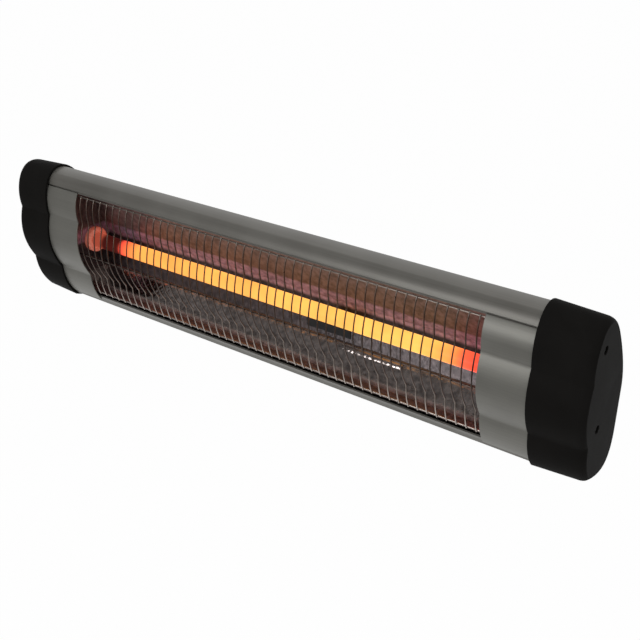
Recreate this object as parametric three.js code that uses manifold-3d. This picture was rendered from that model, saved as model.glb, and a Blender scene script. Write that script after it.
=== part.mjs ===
// A wall-mounted electric bar heater: one quartz lamp in a long aluminium housing, tilting on a wall bracket.
// Millimetres, +Z up. The origin is the middle of the wall bracket's back face, on the wall. The front faces
// -Y, and the long side runs along X.
import * as THREE from "three";
import { mergeVertices } from "three/addons/utils/BufferGeometryUtils.js";
import Module from "manifold-3d";

const wasm = await Module();
wasm.setup();

// ---- driving dimensions ----
// Cross-section places are [back, up] from the groove between the top of the housing and its front.
const WALL_FROM_GROOVE = 144;
const PIVOT = [104, -108];
const HALF_LENGTH = 410;
const CAP_EDGE_X = 349;
const HOUSING_END_X = 356;
const OPENING_X = 294;
const GAP = 0.3;

const HOUSING_WALL = 1.8;
const PANEL_SHEET = 1.5;
const PANEL_TOP = -2.6;
const PANEL_BOTTOM = -162.5;
const UPPER_LIP_TOP = -1;
const UPPER_LIP_BOTTOM = -2.8;
const LOWER_LIP_TOP = -158;
const LOWER_LIP_BOTTOM = -164;
const PORT_RADIUS = 4.5;
const PORT_WEB = 2;
const SCREW_PORTS = [
  [22, 8.5],
  [65, -157],
];

const WIRE_SIZE = 1.6;
const WIRE_PITCH = 12;
const WIRE_COUNT = 49;
const WIRE_TOP = -4.4;
const WIRE_BOTTOM = -151;
const ROD_SIZE = 2;
const ROD_HALF_LENGTH = 322;
const ROD_HEIGHTS = [-7.6, -86, -148.3];
const GUARD_DEPTH = 2.2;
const GUARD_STEPS = 3;
const WELD_DEPTH = 0.3;

const TUBE = [38, -84];
const TUBE_RADIUS = 10;
const TUBE_BORE = 8.5;
const TUBE_HALF_LENGTH = 336;
const COIL_RADIUS = 7.6;
const COIL_HALF_LENGTH = 268;
const TAIL_RADIUS = 1.4;
const HOLDER_FACE_X = 310;
const HOLDER_RADIUS = 17;
const HOLDER_NECK_RADIUS = 12;
const HOLDER_LENGTH = 23;
const CONTACT_LENGTH = 11;

const REFLECTOR_SHEET = 1;
const REFLECTOR_END_X = 319.3;
const REFLECTOR_BENDS = [
  [17.2, -151],
  [34, -154],
  [60, -126],
  [69, -100],
  [67, -79],
  [58, -64.5],
  [38, -15],
  [5, -2.6],
];
const REFLECTOR_END_FRONT = [-7, -153];
const REFLECTOR_END_STEPS = [
  [15.5, -153.2],
  [2.2, -5.8],
];
const SADDLE_X = [47, 110];
const SADDLE_HEIGHT = 12;
const SADDLE_SHEET = 1.6;
const SADDLE_FOOT_BACK = 66.5;
const STRIP_X = [88, 170];
const STRIP_SHEET = 0.9;
const STRIP_SPAN = [0.28, 0.06];

const END_PLATE_SHEET = 1.5;
const CAP_PROUD = 3;
const CAP_SOCKET_DEPTH = 9.1;
const CAP_END_WALL = 4;
const CAP_ROUND_LENGTH = 9;
const CAP_ROUND_HEIGHT = 5;
const CAP_INNER_ROUND = 4;
const CAP_TAPER = 0.034;
const CAP_MIDDLE = [38, -78];
const CAP_SCREWS = [
  [15, -13],
  [25, -106],
];
const BOSS_RADIUS = 5.5;
const RECESS_RADIUS = 4.6;
const RECESS_DEPTH = 4.5;

const END_SCREW_RADIUS = 1.4;
const CAP_SCREW_RADIUS = 1.8;
const CAP_SCREW_LENGTH = 53;
const LUG_SCREW_RADIUS = 2.1;
const SMALL_SCREW_RADIUS = 1.3;
const SCREW_CLEARANCE = 0.4;

const TERMINAL_BACK = 34;
const TERMINAL_UP = -62;
const TERMINAL_SIZE = [16, 34, 16];
const TERMINAL_POLES = 3;
const LEAD_RADIUS = 1.5;
const LEAD_HOLE_RADIUS = 4;
const LOW_LEAD = [60, -146];
const EARTH_PLACE = [58, -100];

const REAR_FACE = 85.5;
const GLAND_X = 381;
const GLAND_HEIGHT = -112;
const GLAND_BORE = 4.6;
const GLAND_SHANK_RADIUS = 8;
const GLAND_SHANK_LENGTH = 12;
const GLAND_COLLAR_RADIUS = 11;
const GLAND_DOME_LENGTH = 14;
const GLAND_PAD_RADIUS = 13;
const GLAND_PAD_DEPTH = 6;
const GLAND_NUT_HEIGHT = 4;

const EAR_INNER_X = 105;
const BRACKET_SHEET = 3;
const BRACKET_HALF_HEIGHT = 30;
const BRACKET_CORNER = 6;
const EAR_NOSE_RADIUS = 14;
const SLOT_X = 60;
const SLOT_WIDTH = 7;
const SLOT_LENGTH = 20;
const LUG_SHEET = 2.5;
const LUG_OUTER_X = 101.9;
const LUG_WIDTH = 30;
const LUG_HALF_HEIGHT = 22;
const LUG_SCREW_X = 83;
const LUG_SCREW_DROP = 12;
const STUD_RADIUS = 3;
const PIVOT_NUT_HEIGHT = 5;
const KNOB_RADIUS = 15;
const KNOB_LENGTH = 15;
const KNOB_LOBES = 6;
const KNOB_HOLLOW = 3;
const KNOB_NECK_RADIUS = 9;
const KNOB_NECK_LENGTH = 5;

const ROUND = 12;
const SMOOTH = 24;
const CURVE_STEPS = 6;

// Places that follow from them.
const END_PLATE_X = HOUSING_END_X + GAP;
const INSIDE_CAP_X = END_PLATE_X + END_PLATE_SHEET + GAP;
const PIVOT_NUT_X = LUG_OUTER_X - LUG_SHEET - GAP - PIVOT_NUT_HEIGHT;
const WASHER_X = LUG_OUTER_X + GAP;
const KNOB_X = EAR_INNER_X + BRACKET_SHEET + GAP;
const PIVOT_HOLE_RADIUS = STUD_RADIUS + SCREW_CLEARANCE;

// ---- finishes ----
const finish = (color, roughness, metalness) =>
  new THREE.MeshStandardMaterial({ color, roughness, metalness });
const housingMetal = finish(0x65635d, 0.38, 0.8);
const panelMetal = finish(0x5c5a55, 0.4, 0.8);
const polishedMetal = finish(0xb9b4ae, 0.15, 1);
const wireSteel = finish(0xa8a49e, 0.3, 1);
const zincSteel = finish(0x9fa1a3, 0.4, 1);
const blackSteel = finish(0x17171a, 0.5, 0.6);
const blackPlastic = finish(0x161514, 0.55, 0);
const ceramic = finish(0xe2ddd2, 0.7, 0);
const quartz = finish(0xf4e4d0, 0.1, 0);
const glowing = new THREE.MeshStandardMaterial({ color: 0xffc040, emissive: 0xff9020, roughness: 0.6 });
const brass = finish(0xb08d4a, 0.35, 1);
const rubber = finish(0x202020, 0.8, 0);
const brownLead = finish(0x5a3420, 0.6, 0);
const blueLead = finish(0x2f4f86, 0.6, 0);
const greenLead = finish(0x5f8a2e, 0.6, 0);

// ---- solids: join, cut and shape ----
const X_AXIS = new THREE.Vector3(1, 0, 0);
const Y_AXIS = new THREE.Vector3(0, 1, 0);
const Z_AXIS = new THREE.Vector3(0, 0, 1);
const SECTION_TO_PART = new THREE.Matrix4().makeBasis(Y_AXIS, Z_AXIS, X_AXIS);

function solidOf(geometry) {
  const bare = geometry.clone();
  bare.deleteAttribute("normal");
  bare.deleteAttribute("uv");
  const merged = mergeVertices(bare, 1e-3);
  return new wasm.Manifold(
    new wasm.Mesh({
      numProp: 3,
      vertProperties: merged.attributes.position.array,
      triVerts: new Uint32Array(merged.index.array),
    }),
  );
}

function geometryOf(solid) {
  const mesh = solid.getMesh();
  const geometry = new THREE.BufferGeometry();
  geometry.setAttribute("position", new THREE.BufferAttribute(mesh.vertProperties, 3));
  geometry.setIndex(new THREE.BufferAttribute(mesh.triVerts, 1));
  const faceted = geometry.toNonIndexed();
  faceted.computeVertexNormals();
  return faceted;
}

const join = (first, ...others) =>
  geometryOf(others.reduce((solid, other) => solid.add(solidOf(other)), solidOf(first)));
const cut = (first, ...others) =>
  geometryOf(others.reduce((solid, other) => solid.subtract(solidOf(other)), solidOf(first)));

// A closed outline in the cross-section, drawn out along X.
function alongX(shape, fromX, toX, options = {}) {
  const geometry = new THREE.ExtrudeGeometry(shape, {
    depth: toX - fromX,
    bevelEnabled: false,
    curveSegments: ROUND,
    ...options,
  });
  return geometry.applyMatrix4(SECTION_TO_PART).translate(fromX, 0, 0);
}

function block(fromX, toX, fromY, toY, fromZ, toZ) {
  const geometry = new THREE.BoxGeometry(toX - fromX, toY - fromY, toZ - fromZ);
  return geometry.translate((fromX + toX) / 2, (fromY + toY) / 2, (fromZ + toZ) / 2);
}

// A profile of [radius, distance] points turned about an axis through a place.
function turned(profile, axis, place, segments = ROUND) {
  const points = profile.map(([radius, distance]) => new THREE.Vector2(radius, distance));
  if (THREE.ShapeUtils.area(points) < 0) points.reverse();
  if (points[0].x > 0) points.push(points[0].clone());
  const turn = new THREE.Quaternion().setFromUnitVectors(Y_AXIS, axis);
  return new THREE.LatheGeometry(points, segments).applyQuaternion(turn).translate(...place);
}

const rod = (radius, length, axis, place, segments = ROUND) =>
  turned([[0, 0], [radius, 0], [radius, length], [0, length]], axis, place, segments);

const ring = (bore, radius, length, axis, place, segments = ROUND) =>
  turned([[bore, 0], [radius, 0], [radius, length], [bore, length]], axis, place, segments);

// A hole for a shank, long enough to go through a sheet at a place.
function clearHole(shankRadius, axis, place, reach = 12) {
  const start = new THREE.Vector3(...place).addScaledVector(axis, -reach / 2);
  return rod(shankRadius + SCREW_CLEARANCE, reach, axis, start.toArray(), shankRadius > 4 ? SMOOTH : ROUND);
}

function hexNut(bore, radius, height, axis, place) {
  const start = new THREE.Vector3(...place).addScaledVector(axis, -1);
  return cut(rod(radius, height, axis, place, 6), rod(bore, height + 2, axis, start.toArray(), SMOOTH));
}

// A pan-head screw: its head stands on the place, and its shank runs the other way.
function panScrew(headRadius, headHeight, shankRadius, shankLength, axis, place) {
  const profile = [
    [0, -shankLength],
    [shankRadius, -shankLength],
    [shankRadius, 0],
    [headRadius, 0],
    [headRadius, headHeight * 0.5],
    [headRadius * 0.7, headHeight],
    [0, headHeight],
  ];
  return turned(profile, axis, place);
}

// ---- the cross-section ----
const VALLEY_1 = [-6.5, -42];
const VALLEY_2 = [3.7, -120];
const CHIN = [22, -168];
const CROWN = [24, 16.6];
const UPPER_LOBE = new THREE.QuadraticBezierCurve(
  new THREE.Vector2(0, 0),
  new THREE.Vector2(-12, -17),
  new THREE.Vector2(...VALLEY_1),
);
const MIDDLE_LOBE = new THREE.QuadraticBezierCurve(
  new THREE.Vector2(...VALLEY_1),
  new THREE.Vector2(-21, -83),
  new THREE.Vector2(...VALLEY_2),
);
const LOWER_LOBE = new THREE.QuadraticBezierCurve(
  new THREE.Vector2(...VALLEY_2),
  new THREE.Vector2(4.5, -148),
  new THREE.Vector2(...CHIN),
);

// From the chin under and up the back to the crown.
function backCurve() {
  return new THREE.Path()
    .moveTo(...CHIN)
    .quadraticCurveTo(38, -175.3, 52, -177)
    .quadraticCurveTo(REAR_FACE, -181, REAR_FACE, -136)
    .lineTo(REAR_FACE, -86)
    .quadraticCurveTo(REAR_FACE, -58, 52.2, -7.6)
    .quadraticCurveTo(38, 13.8, ...CROWN);
}

const frontLine = (steps) =>
  withoutRepeats([UPPER_LOBE, MIDDLE_LOBE, LOWER_LOBE].flatMap((lobe) => lobe.getPoints(steps)));

// The lobes below the groove, from a height down to another, with a point on each valley.
function frontPoints(fromHeight, toHeight, steps = CURVE_STEPS) {
  const between = frontLine(steps).filter((point) => point.y < fromHeight - 1 && point.y > toHeight + 1);
  const fine = frontLine(SMOOTH);
  return [pointAtHeight(fine, fromHeight), ...between, pointAtHeight(fine, toHeight)];
}

// Where a line of points that runs downwards passes a height.
function pointAtHeight(points, height) {
  const next = points.findIndex((point, index) => index > 0 && point.y <= height);
  const share = (points[next - 1].y - height) / (points[next - 1].y - points[next].y);
  return points[next - 1].clone().lerp(points[next], share);
}

const withoutRepeats = (points) =>
  points.filter((point, index) => index === 0 || point.distanceTo(points[index - 1]) > 1e-6);

// Moves a line of points sideways, towards its left, keeping the corners sharp.
function offsetLine(points, distance, closed = false) {
  const count = points.length;
  return points.map((point, index) => {
    const before = points[closed ? (index + count - 1) % count : Math.max(index - 1, 0)];
    const after = points[closed ? (index + 1) % count : Math.min(index + 1, count - 1)];
    const into = point.clone().sub(before).normalize();
    const out = after.clone().sub(point).normalize();
    if (into.lengthSq() === 0) into.copy(out);
    if (out.lengthSq() === 0) out.copy(into);
    const middle = into.clone().add(out).normalize();
    const side = new THREE.Vector2(-middle.y, middle.x);
    return point.clone().addScaledVector(side, distance / middle.dot(into));
  });
}

// A sheet of even thickness that follows a line of points, between two offsets to its left.
function sheetShape(points, fromOffset, toOffset) {
  const near = offsetLine(points, fromOffset);
  const far = offsetLine(points, toOffset).reverse();
  return new THREE.Shape([...near, ...far]);
}

function housingOutline() {
  const crownToGroove = new THREE.CubicBezierCurve(
    new THREE.Vector2(...CROWN),
    new THREE.Vector2(12, 18.3),
    new THREE.Vector2(2, 11.6),
    pointAtHeight(frontLine(SMOOTH), UPPER_LIP_TOP),
  );
  return withoutRepeats([...backCurve().getPoints(CURVE_STEPS), ...crownToGroove.getPoints(CURVE_STEPS + 2)]);
}

// The end caps follow the housing, but run over the groove in one round lobe.
function capOutline() {
  const topLobe = new THREE.CubicBezierCurve(
    new THREE.Vector2(...CROWN),
    new THREE.Vector2(-2.6, 21.7),
    new THREE.Vector2(-13.4, -17.2),
    new THREE.Vector2(...VALLEY_1),
  );
  const points = [
    ...backCurve().getPoints(CURVE_STEPS),
    ...topLobe.getPoints(CURVE_STEPS + 5),
    ...MIDDLE_LOBE.getPoints(CURVE_STEPS),
    ...LOWER_LOBE.getPoints(CURVE_STEPS),
  ];
  return withoutRepeats(points).slice(0, -1);
}

// ---- the object's tree ----
const heater = new THREE.Group();
heater.position.set(0, -WALL_FROM_GROOVE, -PIVOT[1]);
const wallSide = new THREE.Group();
wallSide.position.copy(heater.position);
const object = new THREE.Group();
object.name = "bar_heater";
object.add(wallSide, heater);

function place(group, name, geometry, material) {
  const mesh = new THREE.Mesh(geometry, material);
  mesh.name = name;
  group.add(mesh);
}

// The mirror image of a right-hand piece, for the left-hand side.
function mirrored(geometry) {
  const image = geometry.index ? geometry.toNonIndexed() : geometry.clone();
  image.scale(-1, 1, 1);
  const corners = image.attributes.position;
  for (let first = 0; first < corners.count; first += 3) {
    const second = new THREE.Vector3().fromBufferAttribute(corners, first + 1);
    const third = new THREE.Vector3().fromBufferAttribute(corners, first + 2);
    corners.setXYZ(first + 1, ...third);
    corners.setXYZ(first + 2, ...second);
  }
  image.computeVertexNormals();
  return image;
}

function placePair(group, name, geometry, material) {
  place(group, `${name}_right`, geometry, material);
  place(group, `${name}_left`, mirrored(geometry), material);
}

// ---- housing and front ----
const lugScrewPlaces = [LUG_SCREW_DROP, -LUG_SCREW_DROP].map((drop) => [LUG_SCREW_X, PIVOT[1] + drop]);

// An extrusion, open at the front between two lips that lie behind the panels. Two screw ports run along its
// inside.
function housingShell() {
  const lowerLip = offsetLine(frontPoints(LOWER_LIP_TOP, LOWER_LIP_BOTTOM), PANEL_SHEET + GAP);
  const upperLip = offsetLine(frontPoints(UPPER_LIP_TOP, UPPER_LIP_BOTTOM), PANEL_SHEET + GAP);
  const line = [...lowerLip, ...housingOutline(), ...upperLip];
  const wall = alongX(sheetShape(line, 0, HOUSING_WALL), -HOUSING_END_X, HOUSING_END_X);
  const length = 2 * HOUSING_END_X;
  const posts = SCREW_PORTS.map((port) => rod(PORT_RADIUS, length, X_AXIS, [-HOUSING_END_X, ...port]));
  const [[topBack, topUp], [lowBack, lowUp]] = SCREW_PORTS;
  const half = PORT_WEB / 2;
  const topWeb = block(-HOUSING_END_X, HOUSING_END_X, topBack - half, topBack + half, topUp, topUp + 8);
  const lowWeb = block(-HOUSING_END_X, HOUSING_END_X, lowBack, lowBack + 17, lowUp - half, lowUp + half);
  const bores = SCREW_PORTS.map((port) => clearHole(END_SCREW_RADIUS, X_AXIS, [0, ...port], length + 2));
  const screwHoles = lugScrewPlaces.flatMap(([x, up]) =>
    [x, -x].map((side) => clearHole(LUG_SCREW_RADIUS, Y_AXIS, [side, REAR_FACE, up])),
  );
  return cut(join(wall, ...posts, topWeb, lowWeb), ...bores, ...screwHoles);
}

function frontPanel() {
  const line = frontPoints(PANEL_TOP, PANEL_BOTTOM);
  return alongX(sheetShape(line, 0, PANEL_SHEET), OPENING_X, HOUSING_END_X);
}

place(heater, "housing", housingShell(), housingMetal);
placePair(heater, "front_panel", frontPanel(), panelMetal);

// ---- wire guard: bent upright wires welded to three long rods ----
const wireBend = frontPoints(WIRE_TOP, WIRE_BOTTOM, GUARD_STEPS);
const rodDepth = GUARD_DEPTH + WIRE_SIZE + ROD_SIZE / 2 - WELD_DEPTH;
const rodLine = offsetLine(wireBend, rodDepth);
const rodPlaces = ROD_HEIGHTS.map((height) => pointAtHeight(rodLine, height));

function wireGuard() {
  const wire = sheetShape(wireBend, GUARD_DEPTH, GUARD_DEPTH + WIRE_SIZE);
  const wires = Array.from({ length: WIRE_COUNT }, (_, index) => {
    const middle = (index - (WIRE_COUNT - 1) / 2) * WIRE_PITCH;
    return alongX(wire, middle - WIRE_SIZE / 2, middle + WIRE_SIZE / 2);
  });
  const half = ROD_SIZE / 2;
  const rods = rodPlaces.map(({ x: back, y: up }) =>
    block(-ROD_HALF_LENGTH, ROD_HALF_LENGTH, back - half, back + half, up - half, up + half),
  );
  return join(...rods, ...wires);
}

place(heater, "wire_guard", wireGuard(), wireSteel);

// ---- reflector ----
const reflectorLine = REFLECTOR_BENDS.map(([back, up]) => new THREE.Vector2(back, up));

// An end plate of the trough. It carries the lamp holder, reaches forward to the guard's rods, and steps back
// from both lips of the housing.
function reflectorEnd() {
  const front = offsetLine(frontPoints(...REFLECTOR_END_FRONT), PANEL_SHEET + GAP);
  const [overLowerLip, underUpperLip] = REFLECTOR_END_STEPS.map((step) => new THREE.Vector2(...step));
  const behind = offsetLine(reflectorLine, -REFLECTOR_SHEET);
  const outline = new THREE.Shape([...front, overLowerLip, ...behind, underUpperLip]);
  const sheet = alongX(outline, REFLECTOR_END_X, REFLECTOR_END_X + REFLECTOR_SHEET);
  const holderHole = rod(HOLDER_NECK_RADIUS + GAP, 6, X_AXIS, [REFLECTOR_END_X - 2, ...TUBE], SMOOTH);
  const rodHoles = rodPlaces.map((spot) => clearHole(ROD_SIZE * 0.71, X_AXIS, [REFLECTOR_END_X, ...spot]));
  return cut(sheet, holderHole, ...rodHoles);
}

const trough = sheetShape(reflectorLine, -REFLECTOR_SHEET, 0);
place(heater, "reflector", alongX(trough, GAP - REFLECTOR_END_X, REFLECTOR_END_X - GAP), polishedMetal);
placePair(heater, "reflector_end", reflectorEnd(), polishedMetal);

// ---- lamp ----
function heatingElement() {
  const profile = [
    [0, -TUBE_HALF_LENGTH + 1],
    [TAIL_RADIUS, -TUBE_HALF_LENGTH + 1],
    [TAIL_RADIUS, -COIL_HALF_LENGTH],
    [COIL_RADIUS, -COIL_HALF_LENGTH],
    [COIL_RADIUS, COIL_HALF_LENGTH],
    [TAIL_RADIUS, COIL_HALF_LENGTH],
    [TAIL_RADIUS, TUBE_HALF_LENGTH - 1],
    [0, TUBE_HALF_LENGTH - 1],
  ];
  return turned(profile, X_AXIS, [0, ...TUBE], ROUND);
}

const tubeStart = [-TUBE_HALF_LENGTH, ...TUBE];
const lampTube = ring(TUBE_BORE, TUBE_RADIUS, 2 * TUBE_HALF_LENGTH, X_AXIS, tubeStart, SMOOTH);
place(heater, "quartz_tube", lampTube, quartz);
place(heater, "heating_element", heatingElement(), glowing);

function lampHolder() {
  const bore = TUBE_RADIUS + GAP;
  const discEnd = REFLECTOR_END_X - GAP - HOLDER_FACE_X;
  const profile = [
    [bore, 0],
    [HOLDER_RADIUS - 1.5, 0],
    [HOLDER_RADIUS, 1.5],
    [HOLDER_RADIUS, discEnd],
    [HOLDER_NECK_RADIUS, discEnd],
    [HOLDER_NECK_RADIUS, HOLDER_LENGTH],
    [bore, HOLDER_LENGTH],
  ];
  return turned(profile, X_AXIS, [HOLDER_FACE_X, ...TUBE], SMOOTH);
}

function lampContact() {
  const profile = [
    [0, 0],
    [TUBE_RADIUS, 0],
    [TUBE_RADIUS, 5],
    [4, 7],
    [2.5, 7],
    [2.5, CONTACT_LENGTH],
    [0, CONTACT_LENGTH],
  ];
  return turned(profile, X_AXIS, [TUBE_HALF_LENGTH + GAP, ...TUBE]);
}

const ringPlace = [REFLECTOR_END_X + REFLECTOR_SHEET + GAP, ...TUBE];
const holderRing = ring(HOLDER_NECK_RADIUS + GAP, HOLDER_RADIUS - 1, 1.2, X_AXIS, ringPlace, SMOOTH);
placePair(heater, "lamp_holder", lampHolder(), ceramic);
placePair(heater, "holder_ring", holderRing, zincSteel);
placePair(heater, "lamp_contact", lampContact(), brass);

// The tube rests on a saddle between its ends, whose foot reaches back to the reflector.
function lampSaddle() {
  const [fromX, toX] = SADDLE_X;
  const top = TUBE[1] - TUBE_RADIUS - GAP;
  const bottom = top - SADDLE_HEIGHT;
  const half = SADDLE_SHEET / 2;
  const web = block(fromX, toX, TUBE[0] - half, TUBE[0] + half, bottom, top);
  const foot = block(fromX + 12, toX - 12, TUBE[0], SADDLE_FOOT_BACK, bottom, bottom + SADDLE_SHEET);
  return join(web, foot);
}

// A bright strip that lies on the lower facet of the reflector, beside the saddle.
function reflectorStrip() {
  const [fromX, toX] = STRIP_X;
  const lowerBend = reflectorLine[1];
  const upperBend = reflectorLine[2];
  const line = STRIP_SPAN.map((share) => upperBend.clone().lerp(lowerBend, share));
  return alongX(sheetShape(line, GAP, GAP + STRIP_SHEET), fromX, toX);
}

place(heater, "lamp_saddle", lampSaddle(), blackSteel);
place(heater, "reflector_strip", reflectorStrip(), polishedMetal);

// ---- end plates, their screws and the end caps ----
function endPlate() {
  const outline = new THREE.Shape(offsetLine(capOutline(), 0.5, true));
  const sheet = alongX(outline, END_PLATE_X, END_PLATE_X + END_PLATE_SHEET);
  const leadHoles = [TUBE, LOW_LEAD].map((spot) =>
    rod(LEAD_HOLE_RADIUS, 8, X_AXIS, [END_PLATE_X - 3, ...spot]),
  );
  const screwHoles = [
    ...SCREW_PORTS.map((port) => clearHole(END_SCREW_RADIUS, X_AXIS, [END_PLATE_X, ...port])),
    ...CAP_SCREWS.map((spot) => clearHole(CAP_SCREW_RADIUS, X_AXIS, [END_PLATE_X, ...spot])),
    clearHole(SMALL_SCREW_RADIUS, X_AXIS, [END_PLATE_X, ...EARTH_PLACE]),
    clearHole(SMALL_SCREW_RADIUS, X_AXIS, [END_PLATE_X, ...terminalMiddle]),
  ];
  return cut(sheet, ...leadHoles, ...screwHoles);
}

// The outer form of a cap: the section drawn out along X, with a rounded outer end.
function capSolid() {
  const profile = offsetLine(capOutline(), CAP_ROUND_HEIGHT - CAP_PROUD, true);
  const solid = alongX(new THREE.Shape(profile), CAP_EDGE_X, HALF_LENGTH - CAP_ROUND_LENGTH, {
    bevelEnabled: true,
    bevelThickness: CAP_ROUND_LENGTH,
    bevelSize: CAP_ROUND_HEIGHT,
    bevelSegments: 3,
  });
  return tapered(solid);
}

// Draws the section in towards its middle along the cap, so that the cap leaves its mould.
function tapered(geometry) {
  const [middleBack, middleUp] = CAP_MIDDLE;
  const corners = geometry.attributes.position;
  for (let index = 0; index < corners.count; index++) {
    const along = (corners.getX(index) - CAP_EDGE_X) / (HALF_LENGTH - CAP_EDGE_X);
    const scale = 1 - CAP_TAPER * Math.max(along, 0);
    corners.setY(index, middleBack + (corners.getY(index) - middleBack) * scale);
    corners.setZ(index, middleUp + (corners.getZ(index) - middleUp) * scale);
  }
  return geometry;
}

// The room inside a cap, with rounded ends. Its walls lie just inside the housing's outline.
function capInside() {
  const profile = offsetLine(capOutline(), CAP_INNER_ROUND + 1, true);
  const fromX = CAP_EDGE_X + CAP_SOCKET_DEPTH - CAP_INNER_ROUND - 2;
  return tapered(
    alongX(new THREE.Shape(profile), fromX, HALF_LENGTH - CAP_END_WALL - CAP_INNER_ROUND, {
      bevelEnabled: true,
      bevelThickness: CAP_INNER_ROUND,
      bevelSize: CAP_INNER_ROUND,
      bevelSegments: 2,
    }),
  );
}

function endCap(hasGland) {
  const behind = block(CAP_EDGE_X - 40, CAP_EDGE_X, -60, 140, -220, 60);
  const rim = new THREE.Shape(offsetLine(capOutline(), -GAP, true));
  const socket = alongX(rim, CAP_EDGE_X - 1, CAP_EDGE_X + CAP_SOCKET_DEPTH);
  const shell = cut(capSolid(), behind, socket, capInside());
  const bossLength = HALF_LENGTH - CAP_END_WALL + 1 - INSIDE_CAP_X;
  const recessX = HALF_LENGTH - RECESS_DEPTH;
  const bosses = CAP_SCREWS.map((spot) => rod(BOSS_RADIUS, bossLength, X_AXIS, [INSIDE_CAP_X, ...spot]));
  const recesses = CAP_SCREWS.map((spot) => rod(RECESS_RADIUS, 2 * RECESS_DEPTH, X_AXIS, [recessX, ...spot]));
  const screwWays = CAP_SCREWS.map((spot) =>
    clearHole(CAP_SCREW_RADIUS, X_AXIS, [HALF_LENGTH, ...spot], 120),
  );
  const solid = cut(join(shell, ...bosses), ...recesses, ...screwWays);
  if (!hasGland) return solid;
  const padPlace = [GLAND_X, glandSeat - GLAND_PAD_DEPTH, GLAND_HEIGHT];
  const pad = rod(GLAND_PAD_RADIUS, GLAND_PAD_DEPTH, Y_AXIS, padPlace, SMOOTH);
  return cut(join(solid, pad), clearHole(GLAND_SHANK_RADIUS, Y_AXIS, [GLAND_X, glandSeat, GLAND_HEIGHT], 30));
}

const glandSeat = REAR_FACE + CAP_PROUD;
const [terminalLength, terminalDepth, terminalHeight] = TERMINAL_SIZE;
const polePitch = terminalDepth / TERMINAL_POLES;
const terminalMiddle = [TERMINAL_BACK + polePitch, TERMINAL_UP + terminalHeight / 2];

placePair(heater, "end_plate", endPlate(), zincSteel);
SCREW_PORTS.forEach((port, index) => {
  const screw = panScrew(3.6, 2.4, END_SCREW_RADIUS, 14, X_AXIS, [INSIDE_CAP_X, ...port]);
  placePair(heater, `end_plate_screw_${index + 1}`, screw, zincSteel);
});
CAP_SCREWS.forEach((spot, index) => {
  const headX = HALF_LENGTH - RECESS_DEPTH + GAP;
  const screw = panScrew(3.8, 2.4, CAP_SCREW_RADIUS, CAP_SCREW_LENGTH, X_AXIS, [headX, ...spot]);
  placePair(heater, `cap_screw_${index + 1}`, screw, blackSteel);
});
place(heater, "end_cap_right", endCap(true), blackPlastic);
place(heater, "end_cap_left", mirrored(endCap(false)), blackPlastic);

// ---- connections inside the right-hand end cap ----
const poleBack = (pole) => TERMINAL_BACK + (pole + 0.5) * polePitch;
const poleX = INSIDE_CAP_X + 6;

function terminalBlock() {
  const toX = INSIDE_CAP_X + terminalLength;
  const toY = TERMINAL_BACK + terminalDepth;
  const body = block(INSIDE_CAP_X, toX, TERMINAL_BACK, toY, TERMINAL_UP, TERMINAL_UP + terminalHeight);
  const wells = Array.from({ length: TERMINAL_POLES }, (_, pole) => [
    rod(3, 6, X_AXIS, [toX - 4, poleBack(pole), terminalMiddle[1]]),
    rod(2.2, terminalHeight + 2, Z_AXIS, [poleX, poleBack(pole), TERMINAL_UP - 1]),
  ]);
  const screwWay = clearHole(SMALL_SCREW_RADIUS, X_AXIS, [toX, ...terminalMiddle], 3 * terminalLength);
  return cut(body, ...wells.flat(), screwWay);
}

// A smooth route that takes as many steps between any two places, so that short bends come out round.
class Route extends THREE.CatmullRomCurve3 {
  getUtoTmapping(share) {
    return share;
  }
}

// An insulated lead through a few places.
function lead(places) {
  const extrudePath = new Route(places.map((spot) => new THREE.Vector3(...spot)), false, "centripetal");
  const section = new THREE.Shape().absarc(0, 0, LEAD_RADIUS, 0, 2 * Math.PI);
  const steps = 4 * (places.length - 1);
  return new THREE.ExtrudeGeometry(section, { extrudePath, steps, curveSegments: 4, bevelEnabled: false });
}

// The last two places of a lead, which enters the terminal block from below.
const intoTerminal = (pole) => [
  [poleX, poleBack(pole), TERMINAL_UP - 4],
  [poleX, poleBack(pole), TERMINAL_UP + 4],
];
const [tubeBack, tubeUp] = TUBE;
const [lowBack, lowUp] = LOW_LEAD;
const tipX = TUBE_HALF_LENGTH + CONTACT_LENGTH + 2 * GAP;

const liveLead = lead([
  [tipX, tubeBack, tubeUp],
  [INSIDE_CAP_X, tubeBack, tubeUp],
  [poleX + 1, tubeBack + 0.7, tubeUp + 4],
  [poleX + 1, poleBack(0), TERMINAL_UP - 12],
  ...intoTerminal(0),
]);

// The neutral lead turns back inside the left-hand cap and runs behind the reflector to the right-hand one.
const neutralLead = lead([
  [-tipX, tubeBack, tubeUp],
  [-INSIDE_CAP_X, tubeBack, tubeUp],
  [-INSIDE_CAP_X - 8, tubeBack + 5, tubeUp - 9],
  [-INSIDE_CAP_X - 9, lowBack - 4, lowUp + 18],
  [-INSIDE_CAP_X - 6, lowBack - 1, lowUp + 4],
  [-INSIDE_CAP_X, lowBack, lowUp],
  [-HOUSING_END_X + 8, lowBack, lowUp],
  [HOUSING_END_X - 8, lowBack, lowUp],
  [INSIDE_CAP_X, lowBack, lowUp],
  [INSIDE_CAP_X + 6, lowBack - 1, lowUp + 4],
  [INSIDE_CAP_X + 9, lowBack - 4, lowUp + 18],
  [poleX + 2, poleBack(1), TERMINAL_UP - 20],
  ...intoTerminal(1),
]);
const earthLead = lead([
  [INSIDE_CAP_X + LEAD_RADIUS, EARTH_PLACE[0], EARTH_PLACE[1] + 10.1],
  [INSIDE_CAP_X + 3, EARTH_PLACE[0] + 1, EARTH_PLACE[1] + 18],
  [poleX, poleBack(2), TERMINAL_UP - 12],
  ...intoTerminal(2),
]);

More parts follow.
